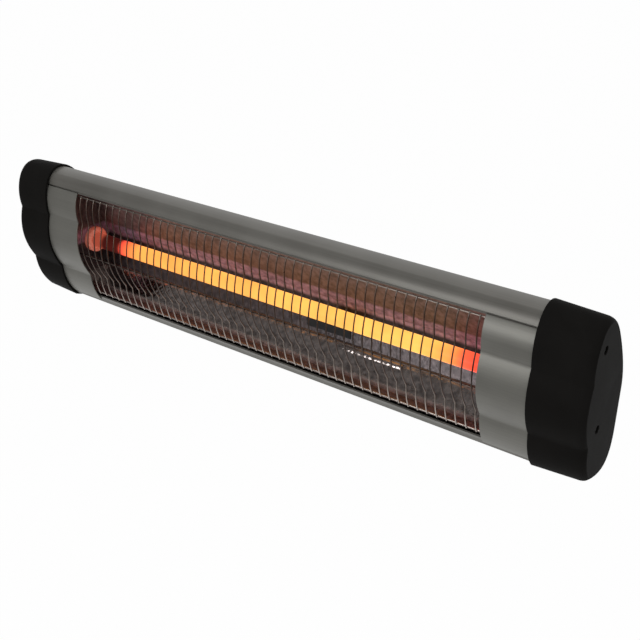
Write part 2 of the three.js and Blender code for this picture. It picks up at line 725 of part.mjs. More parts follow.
// The flat tag at the earth lead's end, under its screw.
function earthTag() {
  const [back, up] = EARTH_PLACE;
  const eye = rod(4, 0.8, X_AXIS, [INSIDE_CAP_X, back, up]);
  const tongue = block(INSIDE_CAP_X, INSIDE_CAP_X + 0.8, back - 1.5, back + 1.5, up + 2, up + 9.7);
  return cut(join(eye, tongue), clearHole(SMALL_SCREW_RADIUS, X_AXIS, [INSIDE_CAP_X, back, up]));
}

const earthScrewPlace = [INSIDE_CAP_X + 0.8 + GAP, ...EARTH_PLACE];
const earthScrew = panScrew(3, 2.2, SMALL_SCREW_RADIUS, 6, X_AXIS, earthScrewPlace);
const terminalScrewPlace = [INSIDE_CAP_X + terminalLength + GAP, ...terminalMiddle];
const terminalScrew = panScrew(2.4, 1.6, SMALL_SCREW_RADIUS, 20, X_AXIS, terminalScrewPlace);
place(heater, "terminal_block", terminalBlock(), ceramic);
place(heater, "terminal_screw", terminalScrew, zincSteel);
place(heater, "live_lead", liveLead, brownLead);
place(heater, "neutral_lead", neutralLead, blueLead);
place(heater, "earth_lead", earthLead, greenLead);
place(heater, "earth_tag", earthTag(), zincSteel);
place(heater, "earth_screw", earthScrew, brass);

// ---- cable gland, with nothing through it ----
function glandBody() {
  const profile = [
    [GLAND_BORE, -GLAND_SHANK_LENGTH],
    [GLAND_SHANK_RADIUS, -GLAND_SHANK_LENGTH],
    [GLAND_SHANK_RADIUS, GAP],
    [GLAND_COLLAR_RADIUS, GAP],
    [GLAND_COLLAR_RADIUS, 5],
    [GLAND_COLLAR_RADIUS - 1.2, 5],
    [GLAND_COLLAR_RADIUS - 1.2, 10],
    [GLAND_COLLAR_RADIUS - 2.4, GLAND_DOME_LENGTH - 1],
    [GLAND_BORE + 2, GLAND_DOME_LENGTH],
    [GLAND_BORE, GLAND_DOME_LENGTH],
  ];
  return turned(profile, Y_AXIS, [GLAND_X, glandSeat, GLAND_HEIGHT], SMOOTH);
}

const glandNutY = glandSeat - GLAND_PAD_DEPTH - GAP - GLAND_NUT_HEIGHT;
const glandNutPlace = [GLAND_X, glandNutY, GLAND_HEIGHT];
const glandNut = hexNut(GLAND_SHANK_RADIUS + GAP, 11.5, GLAND_NUT_HEIGHT, Y_AXIS, glandNutPlace);
place(heater, "gland_body", glandBody(), blackPlastic);
place(heater, "gland_nut", glandNut, blackPlastic);

// ---- lugs on the heater's back, and what clamps them ----
// An ear that runs from a flat sheet at one depth to a round nose about the pivot.
function earShape(sheetBack, halfHeight) {
  const [pivotBack, pivotUp] = PIVOT;
  const direction = Math.sign(pivotBack - sheetBack);
  const shape = new THREE.Shape();
  shape.moveTo(sheetBack, pivotUp - direction * halfHeight);
  shape.lineTo(pivotBack, pivotUp - direction * EAR_NOSE_RADIUS);
  const start = (-direction * Math.PI) / 2;
  shape.absarc(pivotBack, pivotUp, EAR_NOSE_RADIUS, start, start + Math.PI, false);
  shape.lineTo(sheetBack, pivotUp + direction * halfHeight);
  return shape;
}

function lug() {
  const footY = REAR_FACE + GAP;
  const [bottom, top] = [PIVOT[1] - LUG_HALF_HEIGHT, PIVOT[1] + LUG_HALF_HEIGHT];
  const foot = block(LUG_OUTER_X - LUG_WIDTH, LUG_OUTER_X, footY, footY + LUG_SHEET, bottom, top);
  const ear = alongX(earShape(footY, LUG_HALF_HEIGHT), LUG_OUTER_X - LUG_SHEET, LUG_OUTER_X);
  const holes = [
    clearHole(STUD_RADIUS, X_AXIS, [LUG_OUTER_X, ...PIVOT]),
    ...lugScrewPlaces.map(([x, up]) => clearHole(LUG_SCREW_RADIUS, Y_AXIS, [x, footY, up])),
  ];
  return cut(join(foot, ear), ...holes);
}

const washerThickness = EAR_INNER_X - GAP - WASHER_X;
const washer = ring(PIVOT_HOLE_RADIUS, 12, washerThickness, X_AXIS, [WASHER_X, ...PIVOT], SMOOTH);
const pivotNut = hexNut(PIVOT_HOLE_RADIUS, 5.7, PIVOT_NUT_HEIGHT, X_AXIS, [PIVOT_NUT_X, ...PIVOT]);
placePair(heater, "lug", lug(), blackSteel);
lugScrewPlaces.forEach(([x, up], index) => {
  const headPlace = [x, REAR_FACE + LUG_SHEET + 2 * GAP, up];
  const screw = panScrew(4, 2.5, LUG_SCREW_RADIUS, 9, Y_AXIS, headPlace);
  placePair(heater, `lug_screw_${index + 1}`, screw, zincSteel);
});
placePair(heater, "pivot_washer", washer, rubber);
placePair(heater, "pivot_nut", pivotNut, zincSteel);

// ---- wall bracket ----
// A shape drawn as seen from the front, cut or raised through the wall plate.
function throughWall(shape, fromY, toY) {
  const depth = toY - fromY;
  const geometry = new THREE.ExtrudeGeometry(shape, { depth, bevelEnabled: false, curveSegments: 4 });
  return geometry.rotateX(Math.PI / 2).translate(0, toY, 0);
}

function plateShape(halfWidth, halfHeight) {
  const [right, top] = [halfWidth - BRACKET_CORNER, halfHeight - BRACKET_CORNER];
  const shape = new THREE.Shape();
  shape.absarc(right, PIVOT[1] + top, BRACKET_CORNER, 0, Math.PI / 2, false);
  shape.absarc(-right, PIVOT[1] + top, BRACKET_CORNER, Math.PI / 2, Math.PI, false);
  shape.absarc(-right, PIVOT[1] - top, BRACKET_CORNER, Math.PI, 1.5 * Math.PI, false);
  shape.absarc(right, PIVOT[1] - top, BRACKET_CORNER, 1.5 * Math.PI, 2 * Math.PI, false);
  return shape;
}

function slotShape(x) {
  const straight = (SLOT_LENGTH - SLOT_WIDTH) / 2;
  const shape = new THREE.Shape();
  shape.absarc(x, PIVOT[1] + straight, SLOT_WIDTH / 2, 0, Math.PI, false);
  shape.absarc(x, PIVOT[1] - straight, SLOT_WIDTH / 2, Math.PI, 2 * Math.PI, false);
  return shape;
}

function wallBracket() {
  const front = WALL_FROM_GROOVE - BRACKET_SHEET;
  const outerX = EAR_INNER_X + BRACKET_SHEET;
  const plate = throughWall(plateShape(outerX, BRACKET_HALF_HEIGHT), front, WALL_FROM_GROOVE);
  const ear = alongX(earShape(front + 1, BRACKET_HALF_HEIGHT - BRACKET_CORNER), EAR_INNER_X, outerX);
  const slots = [SLOT_X, -SLOT_X].map((x) => throughWall(slotShape(x), front - 4, WALL_FROM_GROOVE + 4));
  const holes = [EAR_INNER_X, -EAR_INNER_X].map((x) => clearHole(STUD_RADIUS, X_AXIS, [x, ...PIVOT]));
  return cut(join(plate, ear, mirrored(ear)), ...slots, ...holes);
}

place(wallSide, "wall_bracket", wallBracket(), blackSteel);

// ---- clamp knobs, each on its own stud ----
const studFromX = PIVOT_NUT_X - 3;
const studToX = KNOB_X + KNOB_LENGTH - 4;

function knob() {
  const steps = KNOB_LOBES * 8;
  const points = Array.from({ length: steps }, (_, index) => {
    const angle = (index / steps) * 2 * Math.PI;
    const radius = KNOB_RADIUS - 1 - (KNOB_HOLLOW / 2) * (1 - Math.cos(KNOB_LOBES * angle));
    return new THREE.Vector2(PIVOT[0] + radius * Math.cos(angle), PIVOT[1] + radius * Math.sin(angle));
  });
  const head = alongX(new THREE.Shape(points), KNOB_X + KNOB_NECK_LENGTH, KNOB_X + KNOB_LENGTH - 1, {
    bevelEnabled: true,
    bevelThickness: 1,
    bevelSize: 1,
    bevelSegments: 1,
  });
  const neck = rod(KNOB_NECK_RADIUS, KNOB_NECK_LENGTH + 1, X_AXIS, [KNOB_X, ...PIVOT], SMOOTH);
  const bore = rod(PIVOT_HOLE_RADIUS, studToX + GAP - KNOB_X + 1, X_AXIS, [KNOB_X - 1, ...PIVOT]);
  return cut(join(head, neck), bore);
}

const stud = rod(STUD_RADIUS, studToX - studFromX, X_AXIS, [studFromX, ...PIVOT]);
placePair(heater, "clamp_knob", knob(), blackPlastic);
placePair(heater, "clamp_stud", stud, zincSteel);

export default object;
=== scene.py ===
"""A wall-mounted electric bar heater: one glowing quartz lamp in a folded reflector, behind a guard of
upright wires, in a grey aluminium housing with black end caps, on a tilting wall bracket."""

import math

import bmesh
import bpy
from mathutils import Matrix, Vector


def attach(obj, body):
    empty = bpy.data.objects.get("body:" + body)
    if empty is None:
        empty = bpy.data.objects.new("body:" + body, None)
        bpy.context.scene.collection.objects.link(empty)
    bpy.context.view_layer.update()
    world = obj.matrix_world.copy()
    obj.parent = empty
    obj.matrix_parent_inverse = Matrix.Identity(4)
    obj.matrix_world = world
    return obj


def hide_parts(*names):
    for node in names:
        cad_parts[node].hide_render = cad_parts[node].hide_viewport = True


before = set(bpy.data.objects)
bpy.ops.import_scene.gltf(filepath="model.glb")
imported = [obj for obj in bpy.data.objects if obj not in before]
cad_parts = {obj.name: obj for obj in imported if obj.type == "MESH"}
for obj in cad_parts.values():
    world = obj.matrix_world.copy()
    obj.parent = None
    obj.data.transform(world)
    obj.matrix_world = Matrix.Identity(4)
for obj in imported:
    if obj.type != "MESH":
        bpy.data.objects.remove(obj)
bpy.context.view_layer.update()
scene = bpy.context.scene

# ---- sizes, in millimetres, as in the part's source ----
# Cross-section places are (back, up) from the groove between the top of the housing and its front.
MM = 0.001
WALL_FROM_GROOVE = 144
PIVOT = (104, -108)
VALLEY_1 = (-6.5, -42)
VALLEY_2 = (3.7, -120)
CHIN = (22, -168)
CROWN = (24, 16.6)
REAR_FACE = 85.5

HALF_LENGTH = 410
CAP_EDGE_X = 349
HOUSING_END_X = 356
OPENING_X = 294
HOUSING_WALL = 1.8
PANEL_SHEET = 1.5
PANEL_TOP = -2.6
PANEL_BOTTOM = -162.5
UPPER_LIP = (-1, -2.8)
LOWER_LIP = (-158, -164)
LIP_BEHIND = 1.8
GROOVE_TOP = -1.1
SCREW_PORTS = ((22, 8.5), (65, -157))
PORT_RADIUS = 4.5
PORT_BORE_RADIUS = 1.8

WIRE_RADIUS = 0.8
WIRE_PITCH = 12
WIRE_COUNT = 49
WIRE_TOP = -4.4
WIRE_BOTTOM = -151
WIRE_BEHIND = 3.0
ROD_RADIUS = 1.0
ROD_BEHIND = 4.5
ROD_HALF_LENGTH = 322
ROD_HEIGHTS = (-7.6, -86, -148.3)

TUBE = (38, -84)
TUBE_RADIUS = 10
TUBE_BORE = 8.5
TUBE_HALF_LENGTH = 336
COIL_RADIUS = 7
COIL_HALF_LENGTH = 268
COIL_PITCH = 4.2
COIL_WIRE_RADIUS = 0.6
HOLDER_FACE_X = 310

REFLECTOR_HALF_LENGTH = 319
REFLECTOR_SHEET = 1
REFLECTOR_BENDS = (
    (17.2, -151), (34, -154), (60, -126), (69, -100), (67, -79), (58, -64.5), (38, -15), (5, -2.6),
)

STRIP_X = (88, 170)
STRIP_START = 0.06
STRIP_WIDTH = 0.22

CAP_PROUD = 3
CAP_CLEARANCE = 0.3
CAP_TAPER = 0.034
CAP_MIDDLE = (38, -78)
CAP_ROUND_LENGTH = 9
CAP_ROUND_HEIGHT = 5
CAP_SOCKET_END_X = 358.1
CAP_INNER_END_X = 406
CAP_SCREWS = ((15, -13), (25, -106))
CAP_SCREW_HEAD_X = 405.8
CAP_BOSS_RADIUS = 5.5
CAP_SCREW_WAY_RADIUS = 2.2
CAP_GLAND_WAY_RADIUS = 8.4
CAP_RECESS_DEPTH = 4.5

GLAND = (381, 88.5, -112)
KNOB_X = 108.3
LUG_SCREW_X = 83
LUG_SCREW_DROP = 12
END_PLATE_SCREW_HEAD_X = 358.1
EARTH_SCREW_HEAD = (359.2, 58, -100)
TERMINAL_SCREW_HEAD = (374.4, 45.33, -54)

# Heights in the frame, in metres, from which the reflector's tints and painted lamp glow run up: its lowest
# edge, its lowest facet, the crease over that, the lamp's axis, the bend above the lamp, and its top edge.
REFLECTOR_HEIGHTS = (-0.047, -0.0425, -0.0215, 0.024, 0.0425, 0.107)
ZONE_BLEND = 0.012 * (REFLECTOR_HEIGHTS[-1] - REFLECTOR_HEIGHTS[0])

CURVE_STEPS = 24
ROUND = 48


# ---- small helpers ----
def at(x, back, up):
    """A place of the cross-section at some x, as a point of the frame."""
    return Vector((x, back - WALL_FROM_GROOVE, up - PIVOT[1])) * MM


def srgb(code):
    """A colour written as sRGB hex, as the linear values a shader takes."""
    parts = [int(code[place:place + 2], 16) / 255 for place in (1, 3, 5)]
    return (*(part / 12.92 if part <= 0.04045 else ((part + 0.055) / 1.055) ** 2.4 for part in parts), 1.0)


def add(tree, kind, settings=None, sockets=None):
    """Adds a node, with its settings, and with values or links on its inputs."""
    node = tree.nodes.new(kind)
    for name, value in (settings or {}).items():
        setattr(node, name, value)
    for name, value in (sockets or {}).items():
        if isinstance(value, bpy.types.NodeSocket):
            tree.links.new(value, node.inputs[name])
        else:
            node.inputs[name].default_value = value
    return node


def new_finish(name):
    """An empty material, its tree and the Object coordinates that its patterns follow."""
    finish = bpy.data.materials.new(name)
    finish.use_nodes = True
    tree = finish.node_tree
    tree.nodes.clear()
    return finish, tree, add(tree, "ShaderNodeTexCoord").outputs["Object"]


def end_finish(tree, shader):
    add(tree, "ShaderNodeOutputMaterial", {}, {"Surface": shader.outputs[0]})


# ---- finishes ----
def mottled(tree, spot, scale, detail, tones, ends=(0, 1), distortion=0.0):
    """Soft patches that drift between two tones: their pattern, and their colour."""
    patches = add(tree, "ShaderNodeTexNoise", {}, {
        "Vector": spot, "Scale": scale, "Detail": detail, "Distortion": distortion,
    }).outputs[0]
    ramp = add(tree, "ShaderNodeValToRGB", {}, {"Fac": patches})
    for element, end, tone in zip(ramp.color_ramp.elements, ends, tones):
        element.position = end
        element.color = srgb(tone)
    return patches, ramp.outputs[0]


def graded(tree, distance, stops):
    """A value or colour that follows a distance, in metres, through stops of (place, value)."""
    first, last = stops[0][0], stops[-1][0]
    share = add(tree, "ShaderNodeMapRange", {}, {"Value": distance, "From Min": first, "From Max": last})
    ramp = add(tree, "ShaderNodeValToRGB", {}, {"Fac": share.outputs[0]})
    elements = ramp.color_ramp.elements
    elements[0].color, elements[1].color = stops[0][1], stops[-1][1]
    for place, value in stops[1:-1]:
        elements.new((place - first) / (last - first)).color = value
    return ramp.outputs[0]


def anodised_aluminium(name, dark, light):
    """Anodised aluminium: a warm grey, dull metal sheen, with soft clouding and faint lines from the die or
    the rollers along its length."""
    finish, tree, spot = new_finish(name)
    # The real lines are about 0.3 mm apart. They are drawn 1.2 mm apart, so that they show.
    along = add(tree, "ShaderNodeMapping", {}, {"Vector": spot, "Scale": (6, 830, 830)})
    lines = add(tree, "ShaderNodeTexNoise", {}, {"Vector": along.outputs[0], "Scale": 1, "Detail": 2})
    clouds = add(tree, "ShaderNodeTexNoise", {}, {"Vector": spot, "Scale": 14, "Detail": 3})
    mixed = add(tree, "ShaderNodeMix", {"data_type": "FLOAT"}, {
        0: 0.35, 2: clouds.outputs[0], 3: lines.outputs[0],
    })
    tone = add(tree, "ShaderNodeValToRGB", {}, {"Fac": mixed.outputs[0]})
    tone.color_ramp.elements[0].position, tone.color_ramp.elements[1].position = 0.3, 0.7
    tone.color_ramp.elements[0].color, tone.color_ramp.elements[1].color = srgb(dark), srgb(light)
    sheen = add(tree, "ShaderNodeMapRange", {}, {"Value": mixed.outputs[0], "To Min": 0.34, "To Max": 0.46})
    relief = add(tree, "ShaderNodeBump", {}, {
        "Height": lines.outputs[0], "Strength": 0.08, "Distance": 0.0002,
    })
    end_finish(tree, add(tree, "ShaderNodeBsdfPrincipled", {}, {
        "Base Color": tone.outputs[0], "Metallic": 0.4, "Roughness": sheen.outputs[0],
        "Normal": relief.outputs[0],
    }))
    return finish


def zoned(tree, height, values):
    """Holds one value in each zone up the reflector, with a short blend between them."""
    stops = [(REFLECTOR_HEIGHTS[0], values[0])]
    for edge, below, above in zip(REFLECTOR_HEIGHTS[1:], values, values[1:]):
        stops += [(edge - ZONE_BLEND, below), (edge + ZONE_BLEND, above)]
    return graded(tree, height, [*stops, (REFLECTOR_HEIGHTS[-1], values[-1])])


def reflector_aluminium(name):
    """Polished reflector aluminium, in bands by height: brown above the lamp, a rose band beside it that is
    painted glow from the lamp, a plum band below it that is a painted reflection of the lamp, and a clear,
    glossy grey on its lowest facet. Soft dimples break its mirror images up."""
    finish, tree, spot = new_finish(name)
    height = add(tree, "ShaderNodeSeparateXYZ", {}, {0: spot}).outputs[2]
    # The rose band beside the lamp is painted lamp glow, and the plum band below it is a painted reflection of
    # the lamp.
    tints_with_painted_glow = ("#6a5654", "#b5aaa6", "#4b4446", "#b090a4", "#665451")
    tint_with_painted_glow = zoned(tree, height, [srgb(code) for code in tints_with_painted_glow])
    polish, metal = (zoned(tree, height, [(level, level, level, 1) for level in levels]) for levels in (
        (0.5, 0.12, 0.3, 0.35, 0.5), (0.3, 1, 0.5, 0.4, 0.35),
    ))
    # Dimples 4.5 mm across, as on stucco-embossed reflector sheet.
    dimples = add(tree, "ShaderNodeTexVoronoi", {"feature": "SMOOTH_F1"}, {
        "Vector": spot, "Scale": 220, "Smoothness": 0.6,
    })
    clouds = add(tree, "ShaderNodeTexNoise", {}, {"Vector": spot, "Scale": 160, "Detail": 4})
    mottle = add(tree, "ShaderNodeMapRange", {}, {
        "Value": clouds.outputs[0], "From Min": 0.35, "From Max": 0.65, "To Min": 0.62, "To Max": 1.28,
    })
    tone = add(tree, "ShaderNodeVectorMath", {"operation": "SCALE"}, {0: tint_with_painted_glow, 3: mottle.outputs[0]})
    relief = add(tree, "ShaderNodeBump", {}, {
        "Height": dimples.outputs[0], "Strength": 0.45, "Distance": 0.0005,
    })
    end_finish(tree, add(tree, "ShaderNodeBsdfPrincipled", {}, {
        "Base Color": tone.outputs[0], "Metallic": metal, "Roughness": polish, "Normal": relief.outputs[0],
    }))
    return finish


def drawn_wire(name):
    """Drawn steel wire, its tone set by height: painted highlights along the top and low down, and painted
    shade in dark brown where it stands in front of the glowing lamp.
    """
    finish, tree, spot = new_finish(name)
    height = add(tree, "ShaderNodeSeparateXYZ", {}, {0: spot}).outputs[2]
    # Heights in metres: painted highlight up to the lower bend, painted shade in dark brown from there to just
    # under the top rod.
    painted_light_by_height = graded(tree, height, [(level, srgb(code)) for level, code in (
        (-0.045, "#b6aca5"), (-0.02, "#a2978f"), (0.0, "#5e524c"), (0.097, "#5e524c"), (0.105, "#c0b6ae"),
    )])
    patches = add(tree, "ShaderNodeTexNoise", {}, {"Vector": spot, "Scale": 220, "Detail": 2})
    worn = add(tree, "ShaderNodeMapRange", {}, {"Value": patches.outputs[0], "To Min": 0.8, "To Max": 1.1})
    tone = add(tree, "ShaderNodeVectorMath", {"operation": "SCALE"}, {0: painted_light_by_height, 3: worn.outputs[0]})
    shine = add(tree, "ShaderNodeMapRange", {}, {"Value": patches.outputs[0], "To Min": 0.22, "To Max": 0.4})
    end_finish(tree, add(tree, "ShaderNodeBsdfPrincipled", {}, {
        "Base Color": tone.outputs[0], "Metallic": 1.0, "Roughness": shine.outputs[0],
    }))
    return finish


def plated_metal(name, dark, light, roughness):
    """Plated or bare metal of a small fitting: a satin shine with cloudy patches and fine scratches."""
    finish, tree, spot = new_finish(name)
    tone = mottled(tree, spot, 150, 5, (dark, light), (0.35, 0.65))[1]
    scratched = add(tree, "ShaderNodeMapping", {}, {"Vector": spot, "Scale": (300, 2500, 300)})
    scratches = add(tree, "ShaderNodeTexNoise", {}, {"Vector": scratched.outputs[0], "Scale": 1, "Detail": 1})
    shine = add(tree, "ShaderNodeMapRange", {}, {
        "Value": scratches.outputs[0], "To Min": roughness - 0.08, "To Max": roughness + 0.08,
    })
    end_finish(tree, add(tree, "ShaderNodeBsdfPrincipled", {}, {
        "Base Color": tone, "Metallic": 1.0, "Roughness": shine.outputs[0],
    }))
    return finish


def powder_coat(name):
    """Black powder-coated steel: a dull black skin with a fine orange-peel surface."""
    finish, tree, spot = new_finish(name)
    # Orange peel about 1.2 mm across.
    peel = add(tree, "ShaderNodeTexNoise", {}, {"Vector": spot, "Scale": 830, "Detail": 2})
    tone = mottled(tree, spot, 40, 4, ("#0e0e0f", "#1a1a1c"))[1]
    relief = add(tree, "ShaderNodeBump", {}, {"Height": peel.outputs[0], "Strength": 0.3, "Distance": 0.0003})
    end_finish(tree, add(tree, "ShaderNodeBsdfPrincipled", {}, {
        "Base Color": tone, "Roughness": 0.48, "Normal": relief.outputs[0],
    }))
    return finish


def moulded_black(name):
    """Moulded black nylon: a near-black satin skin with a fine spark-eroded grain and faint scuffs."""
    finish, tree, spot = new_finish(name)
    # The grain of the mould is about 0.5 mm. It is drawn at 1 mm, so that it shows.
    grain = add(tree, "ShaderNodeTexNoise", {}, {"Vector": spot, "Scale": 1000, "Detail": 2})
    scuffs, tone = mottled(tree, spot, 25, 5, ("#121110", "#1a1918"), distortion=0.6)
    shine = add(tree, "ShaderNodeMapRange", {}, {"Value": scuffs, "To Min": 0.45, "To Max": 0.6})
    relief = add(tree, "ShaderNodeBump", {}, {
        "Height": grain.outputs[0], "Strength": 0.25, "Distance": 0.0002,
    })
    end_finish(tree, add(tree, "ShaderNodeBsdfPrincipled", {}, {
        "Base Color": tone, "Roughness": shine.outputs[0], "Specular IOR Level": 0.01,
        "Normal": relief.outputs[0],
    }))
    return finish


def ceramic(name, dark, light):
    """Steatite ceramic: a smooth, faintly speckled body under a thin glaze. Where it holds the lamp, it has a
    painted salmon glow, standing in for the lamp's light falling on it."""
    finish, tree, spot = new_finish(name)
    tone = mottled(tree, spot, 420, 3, (dark, light), (0.35, 0.6))[1]
    along = add(tree, "ShaderNodeSeparateXYZ", {}, {0: spot}).outputs[0]
    from_middle = add(tree, "ShaderNodeMath", {"operation": "ABSOLUTE"}, {0: along})
    painted_glow_share = add(tree, "ShaderNodeMapRange", {}, {
        "Value": from_middle.outputs[0], "From Min": 0.309, "From Max": 0.325, "To Min": 1.0, "To Max": 0.0,
    })
    # The salmon emission near the lamp is a painted glow: the lamp's light painted onto the holder.
    end_finish(tree, add(tree, "ShaderNodeBsdfPrincipled", {}, {
        "Base Color": tone, "Roughness": 0.45, "Coat Weight": 0.25, "Coat Roughness": 0.2,
        "Emission Color": srgb("#983f2c"), "Emission Strength": painted_glow_share.outputs[0],
    }))
    return finish


def rubber(name):
    """Black rubber washer: matt, with a little dust in its surface."""
    finish, tree, spot = new_finish(name)
    tone = mottled(tree, spot, 500, 4, ("#1a1a1a", "#2b2a29"))[1]
    end_finish(tree, add(tree, "ShaderNodeBsdfPrincipled", {}, {"Base Color": tone, "Roughness": 0.85}))
    return finish


def lead_insulation(name, dark, light):
    """Silicone-rubber lead insulation: a soft satin colour with slight marks from handling."""
    finish, tree, spot = new_finish(name)
    tone = mottled(tree, spot, 300, 3, (dark, light))[1]
    end_finish(tree, add(tree, "ShaderNodeBsdfPrincipled", {}, {"Base Color": tone, "Roughness": 0.55}))
    return finish


def lit_quartz(name):
    """Ruby-coated quartz glass, lit by the coil in it: yellow over most of its length, red where the coil
    ends, and a dark ruby glass beyond it. It is brighter than a picture holds, so it lights what lies near."""
    finish, tree, spot = new_finish(name)
    along = add(tree, "ShaderNodeSeparateXYZ", {}, {0: spot}).outputs[0]
    # Places along X in metres, from the left-hand end of the lamp to the right-hand one.
    glow = graded(tree, along, [(place, srgb(code)) for place, code in (
        (-0.32, "#8a3c2c"), (-0.297, "#8a3c2c"), (-0.291, "#300c09"), (-0.263, "#300c09"),
        (-0.256, "#f04e3a"), (-0.243, "#fa7640"), (-0.226, "#ffa24c"), (0, "#ffb054"), (0.2, "#ffbb5a"),
        (0.222, "#ffb556"), (0.236, "#ff9c4c"), (0.248, "#ff8444"), (0.258, "#ff5f3e"),
        (0.276, "#f04c36"), (0.284, "#401010"), (0.31, "#8a3c2c"), (0.32, "#8a3c2c"),
    )])
    # The coil shows through as slightly hotter and cooler lengths, about 30 mm each.
    patches = add(tree, "ShaderNodeTexNoise", {}, {"Vector": spot, "Scale": 34, "Detail": 2})
    level = add(tree, "ShaderNodeMapRange", {}, {
        "Value": patches.outputs[0], "From Min": 0.35, "From Max": 0.65, "To Min": 1.25, "To Max": 1.5,
    })
    end_finish(tree, add(tree, "ShaderNodeBsdfPrincipled", {}, {
        "Base Color": srgb("#3a1512"), "Roughness": 0.35, "Specular IOR Level": 0.1,
        "Emission Color": glow, "Emission Strength": level.outputs[0],
    }))
    return finish


def hot_filament(name):
    """Resistance wire at working heat: a dull scaled metal that glows bright orange-yellow."""
    finish, tree, spot = new_finish(name)
    painted_light_by_height = mottled(tree, spot, 900, 2, ("#ff9a30", "#ffc654"))[1]
    end_finish(tree, add(tree, "ShaderNodeBsdfPrincipled", {}, {
        "Base Color": srgb("#4a3a30"), "Metallic": 1.0, "Roughness": 0.6,
        "Emission Color": painted_light_by_height, "Emission Strength": 1.0,
    }))
    return finish


FINISHES = {
    "anodised_housing": anodised_aluminium("anodised_aluminium_extrusion", "#5c5a55", "#6c6a65"),
    "anodised_panel": anodised_aluminium("anodised_aluminium_sheet", "#62615c", "#72716b"),
    # The reflector's finish holds painted lamp glow and a painted reflection of the lamp.
    "polished_reflector": reflector_aluminium("polished_aluminium_with_painted_glow"),
    # The wire's finish holds painted highlights and painted shade by height.
    "guard_wire": drawn_wire("drawn_steel_wire"),
    "zinc_steel": plated_metal("zinc_plated_steel", "#85878a", "#a9abad", 0.38),
    "black_steel": powder_coat("black_powder_coated_steel"),
    "black_plastic": moulded_black("moulded_black_nylon"),
    "white_ceramic": ceramic("steatite_ceramic", "#b98f7e", "#d8b4a4"),
    "quartz_glass": lit_quartz("lit_ruby_quartz"),
    "glowing_filament": hot_filament("glowing_resistance_wire"),
    "brass": plated_metal("brass", "#96763a", "#b8974e", 0.32),
    "washer_rubber": rubber("black_rubber"),
    "lead_brown": lead_insulation("brown_silicone", "#4c2b1a", "#633a24"),
    "lead_blue": lead_insulation("blue_silicone", "#27437a", "#35558f"),
    "lead_green": lead_insulation("green_silicone", "#4f7626", "#6a9434"),
}


# ---- meshes: from rings, outlines and profiles to solids ----
def object_of(mesh, name="work"):
    holder = bpy.data.objects.new(name, mesh)
    scene.collection.objects.link(holder)
    return holder


def settled(holder):
    """The plain mesh that an object's modifiers make of it. The object goes."""
    depsgraph = bpy.context.evaluated_depsgraph_get()
    mesh = bpy.data.meshes.new_from_object(holder.evaluated_get(depsgraph), depsgraph=depsgraph)
    bpy.data.objects.remove(holder)
    return mesh


def solid(build):
    """A bmesh as a mesh whose faces point outwards."""
    bmesh.ops.remove_doubles(build, verts=build.verts, dist=1e-7)
    bmesh.ops.recalc_face_normals(build, faces=build.faces)
    mesh = bpy.data.meshes.new("solid")
    build.to_mesh(mesh)
    build.free()
    return mesh


def lofted(rings, closed=False):
    """Skin over a row of rings with as many points each. Its ends are filled, unless the row closes on
    itself."""
    build = bmesh.new()
    lines = [[build.verts.new(point) for point in ring] for ring in rings]
    pairs = list(zip(lines, lines[1:]))
    if closed:
        pairs.append((lines[-1], lines[0]))
    else:
        build.faces.new(lines[0])
        build.faces.new(lines[-1])
    for one, other in pairs:
        for step in range(len(one)):
            build.faces.new((one[step - 1], one[step], other[step], other[step - 1]))
    return solid(build)


def drawn(outline, from_x, to_x):
    """A closed outline of the cross-section, drawn out along X."""
    return lofted([[at(x, *point) for point in outline] for x in (from_x, to_x)])


def turned(profile, axis, place, segments=ROUND):
    """A profile of (radius, distance) points, turned about an axis through a place. Both ends lie on the
    axis, or the profile closes on itself."""
    build = bmesh.new()
    turn = Vector((0, 0, 1)).rotation_difference(Vector(axis))
    lines = []
    for radius, distance in profile:
        count = segments if radius > 0 else 1
        angles = [2 * math.pi * step / segments for step in range(count)]
        spots = [Vector((radius * math.cos(angle), radius * math.sin(angle), distance)) for angle in angles]
        lines.append([build.verts.new(place + turn @ spot * MM) for spot in spots])
    pairs = list(zip(lines, lines[1:]))
    if profile[0][0] > 0:
        pairs.append((lines[-1], lines[0]))
    for one, other in pairs:
        for step in range(segments):
            corners = (one[step - len(one)] if len(one) > 1 else one[0],
                       one[(step + 1) % segments] if len(one) > 1 else one[0],
                       other[(step + 1) % segments] if len(other) > 1 else other[0],
                       other[step - len(other)] if len(other) > 1 else other[0])
            build.faces.new(dict.fromkeys(corners))
    return solid(build)


def rod(radius, length, axis, place, segments=ROUND):
    return turned(((0, 0), (radius, 0), (radius, length), (0, length)), axis, place, segments)


def box(low, high):
    """A block between two corners, given as (x, back, up)."""
    outline = ((low[1], low[2]), (high[1], low[2]), (high[1], high[2]), (low[1], high[2]))
    return drawn(outline, low[0], high[0])


def combined(operation, base, tools):
    """Joins solids to a base, or cuts them out of it."""
    holder = object_of(base)
    others = [object_of(tool) for tool in tools]
    for other in others:
        modifier = holder.modifiers.new(operation, "BOOLEAN")
        modifier.operation = operation
        modifier.solver = "EXACT"
        modifier.object = other
    mesh = settled(holder)
    for other in others:
        bpy.data.objects.remove(other)
    return mesh


def mirrored(mesh):
    """The left-hand twin of a right-hand solid."""
    build = bmesh.new()
    build.from_mesh(mesh)
    for vertex in build.verts:
        vertex.co.x = -vertex.co.x
    bmesh.ops.reverse_faces(build, faces=build.faces)
    return solid(build)


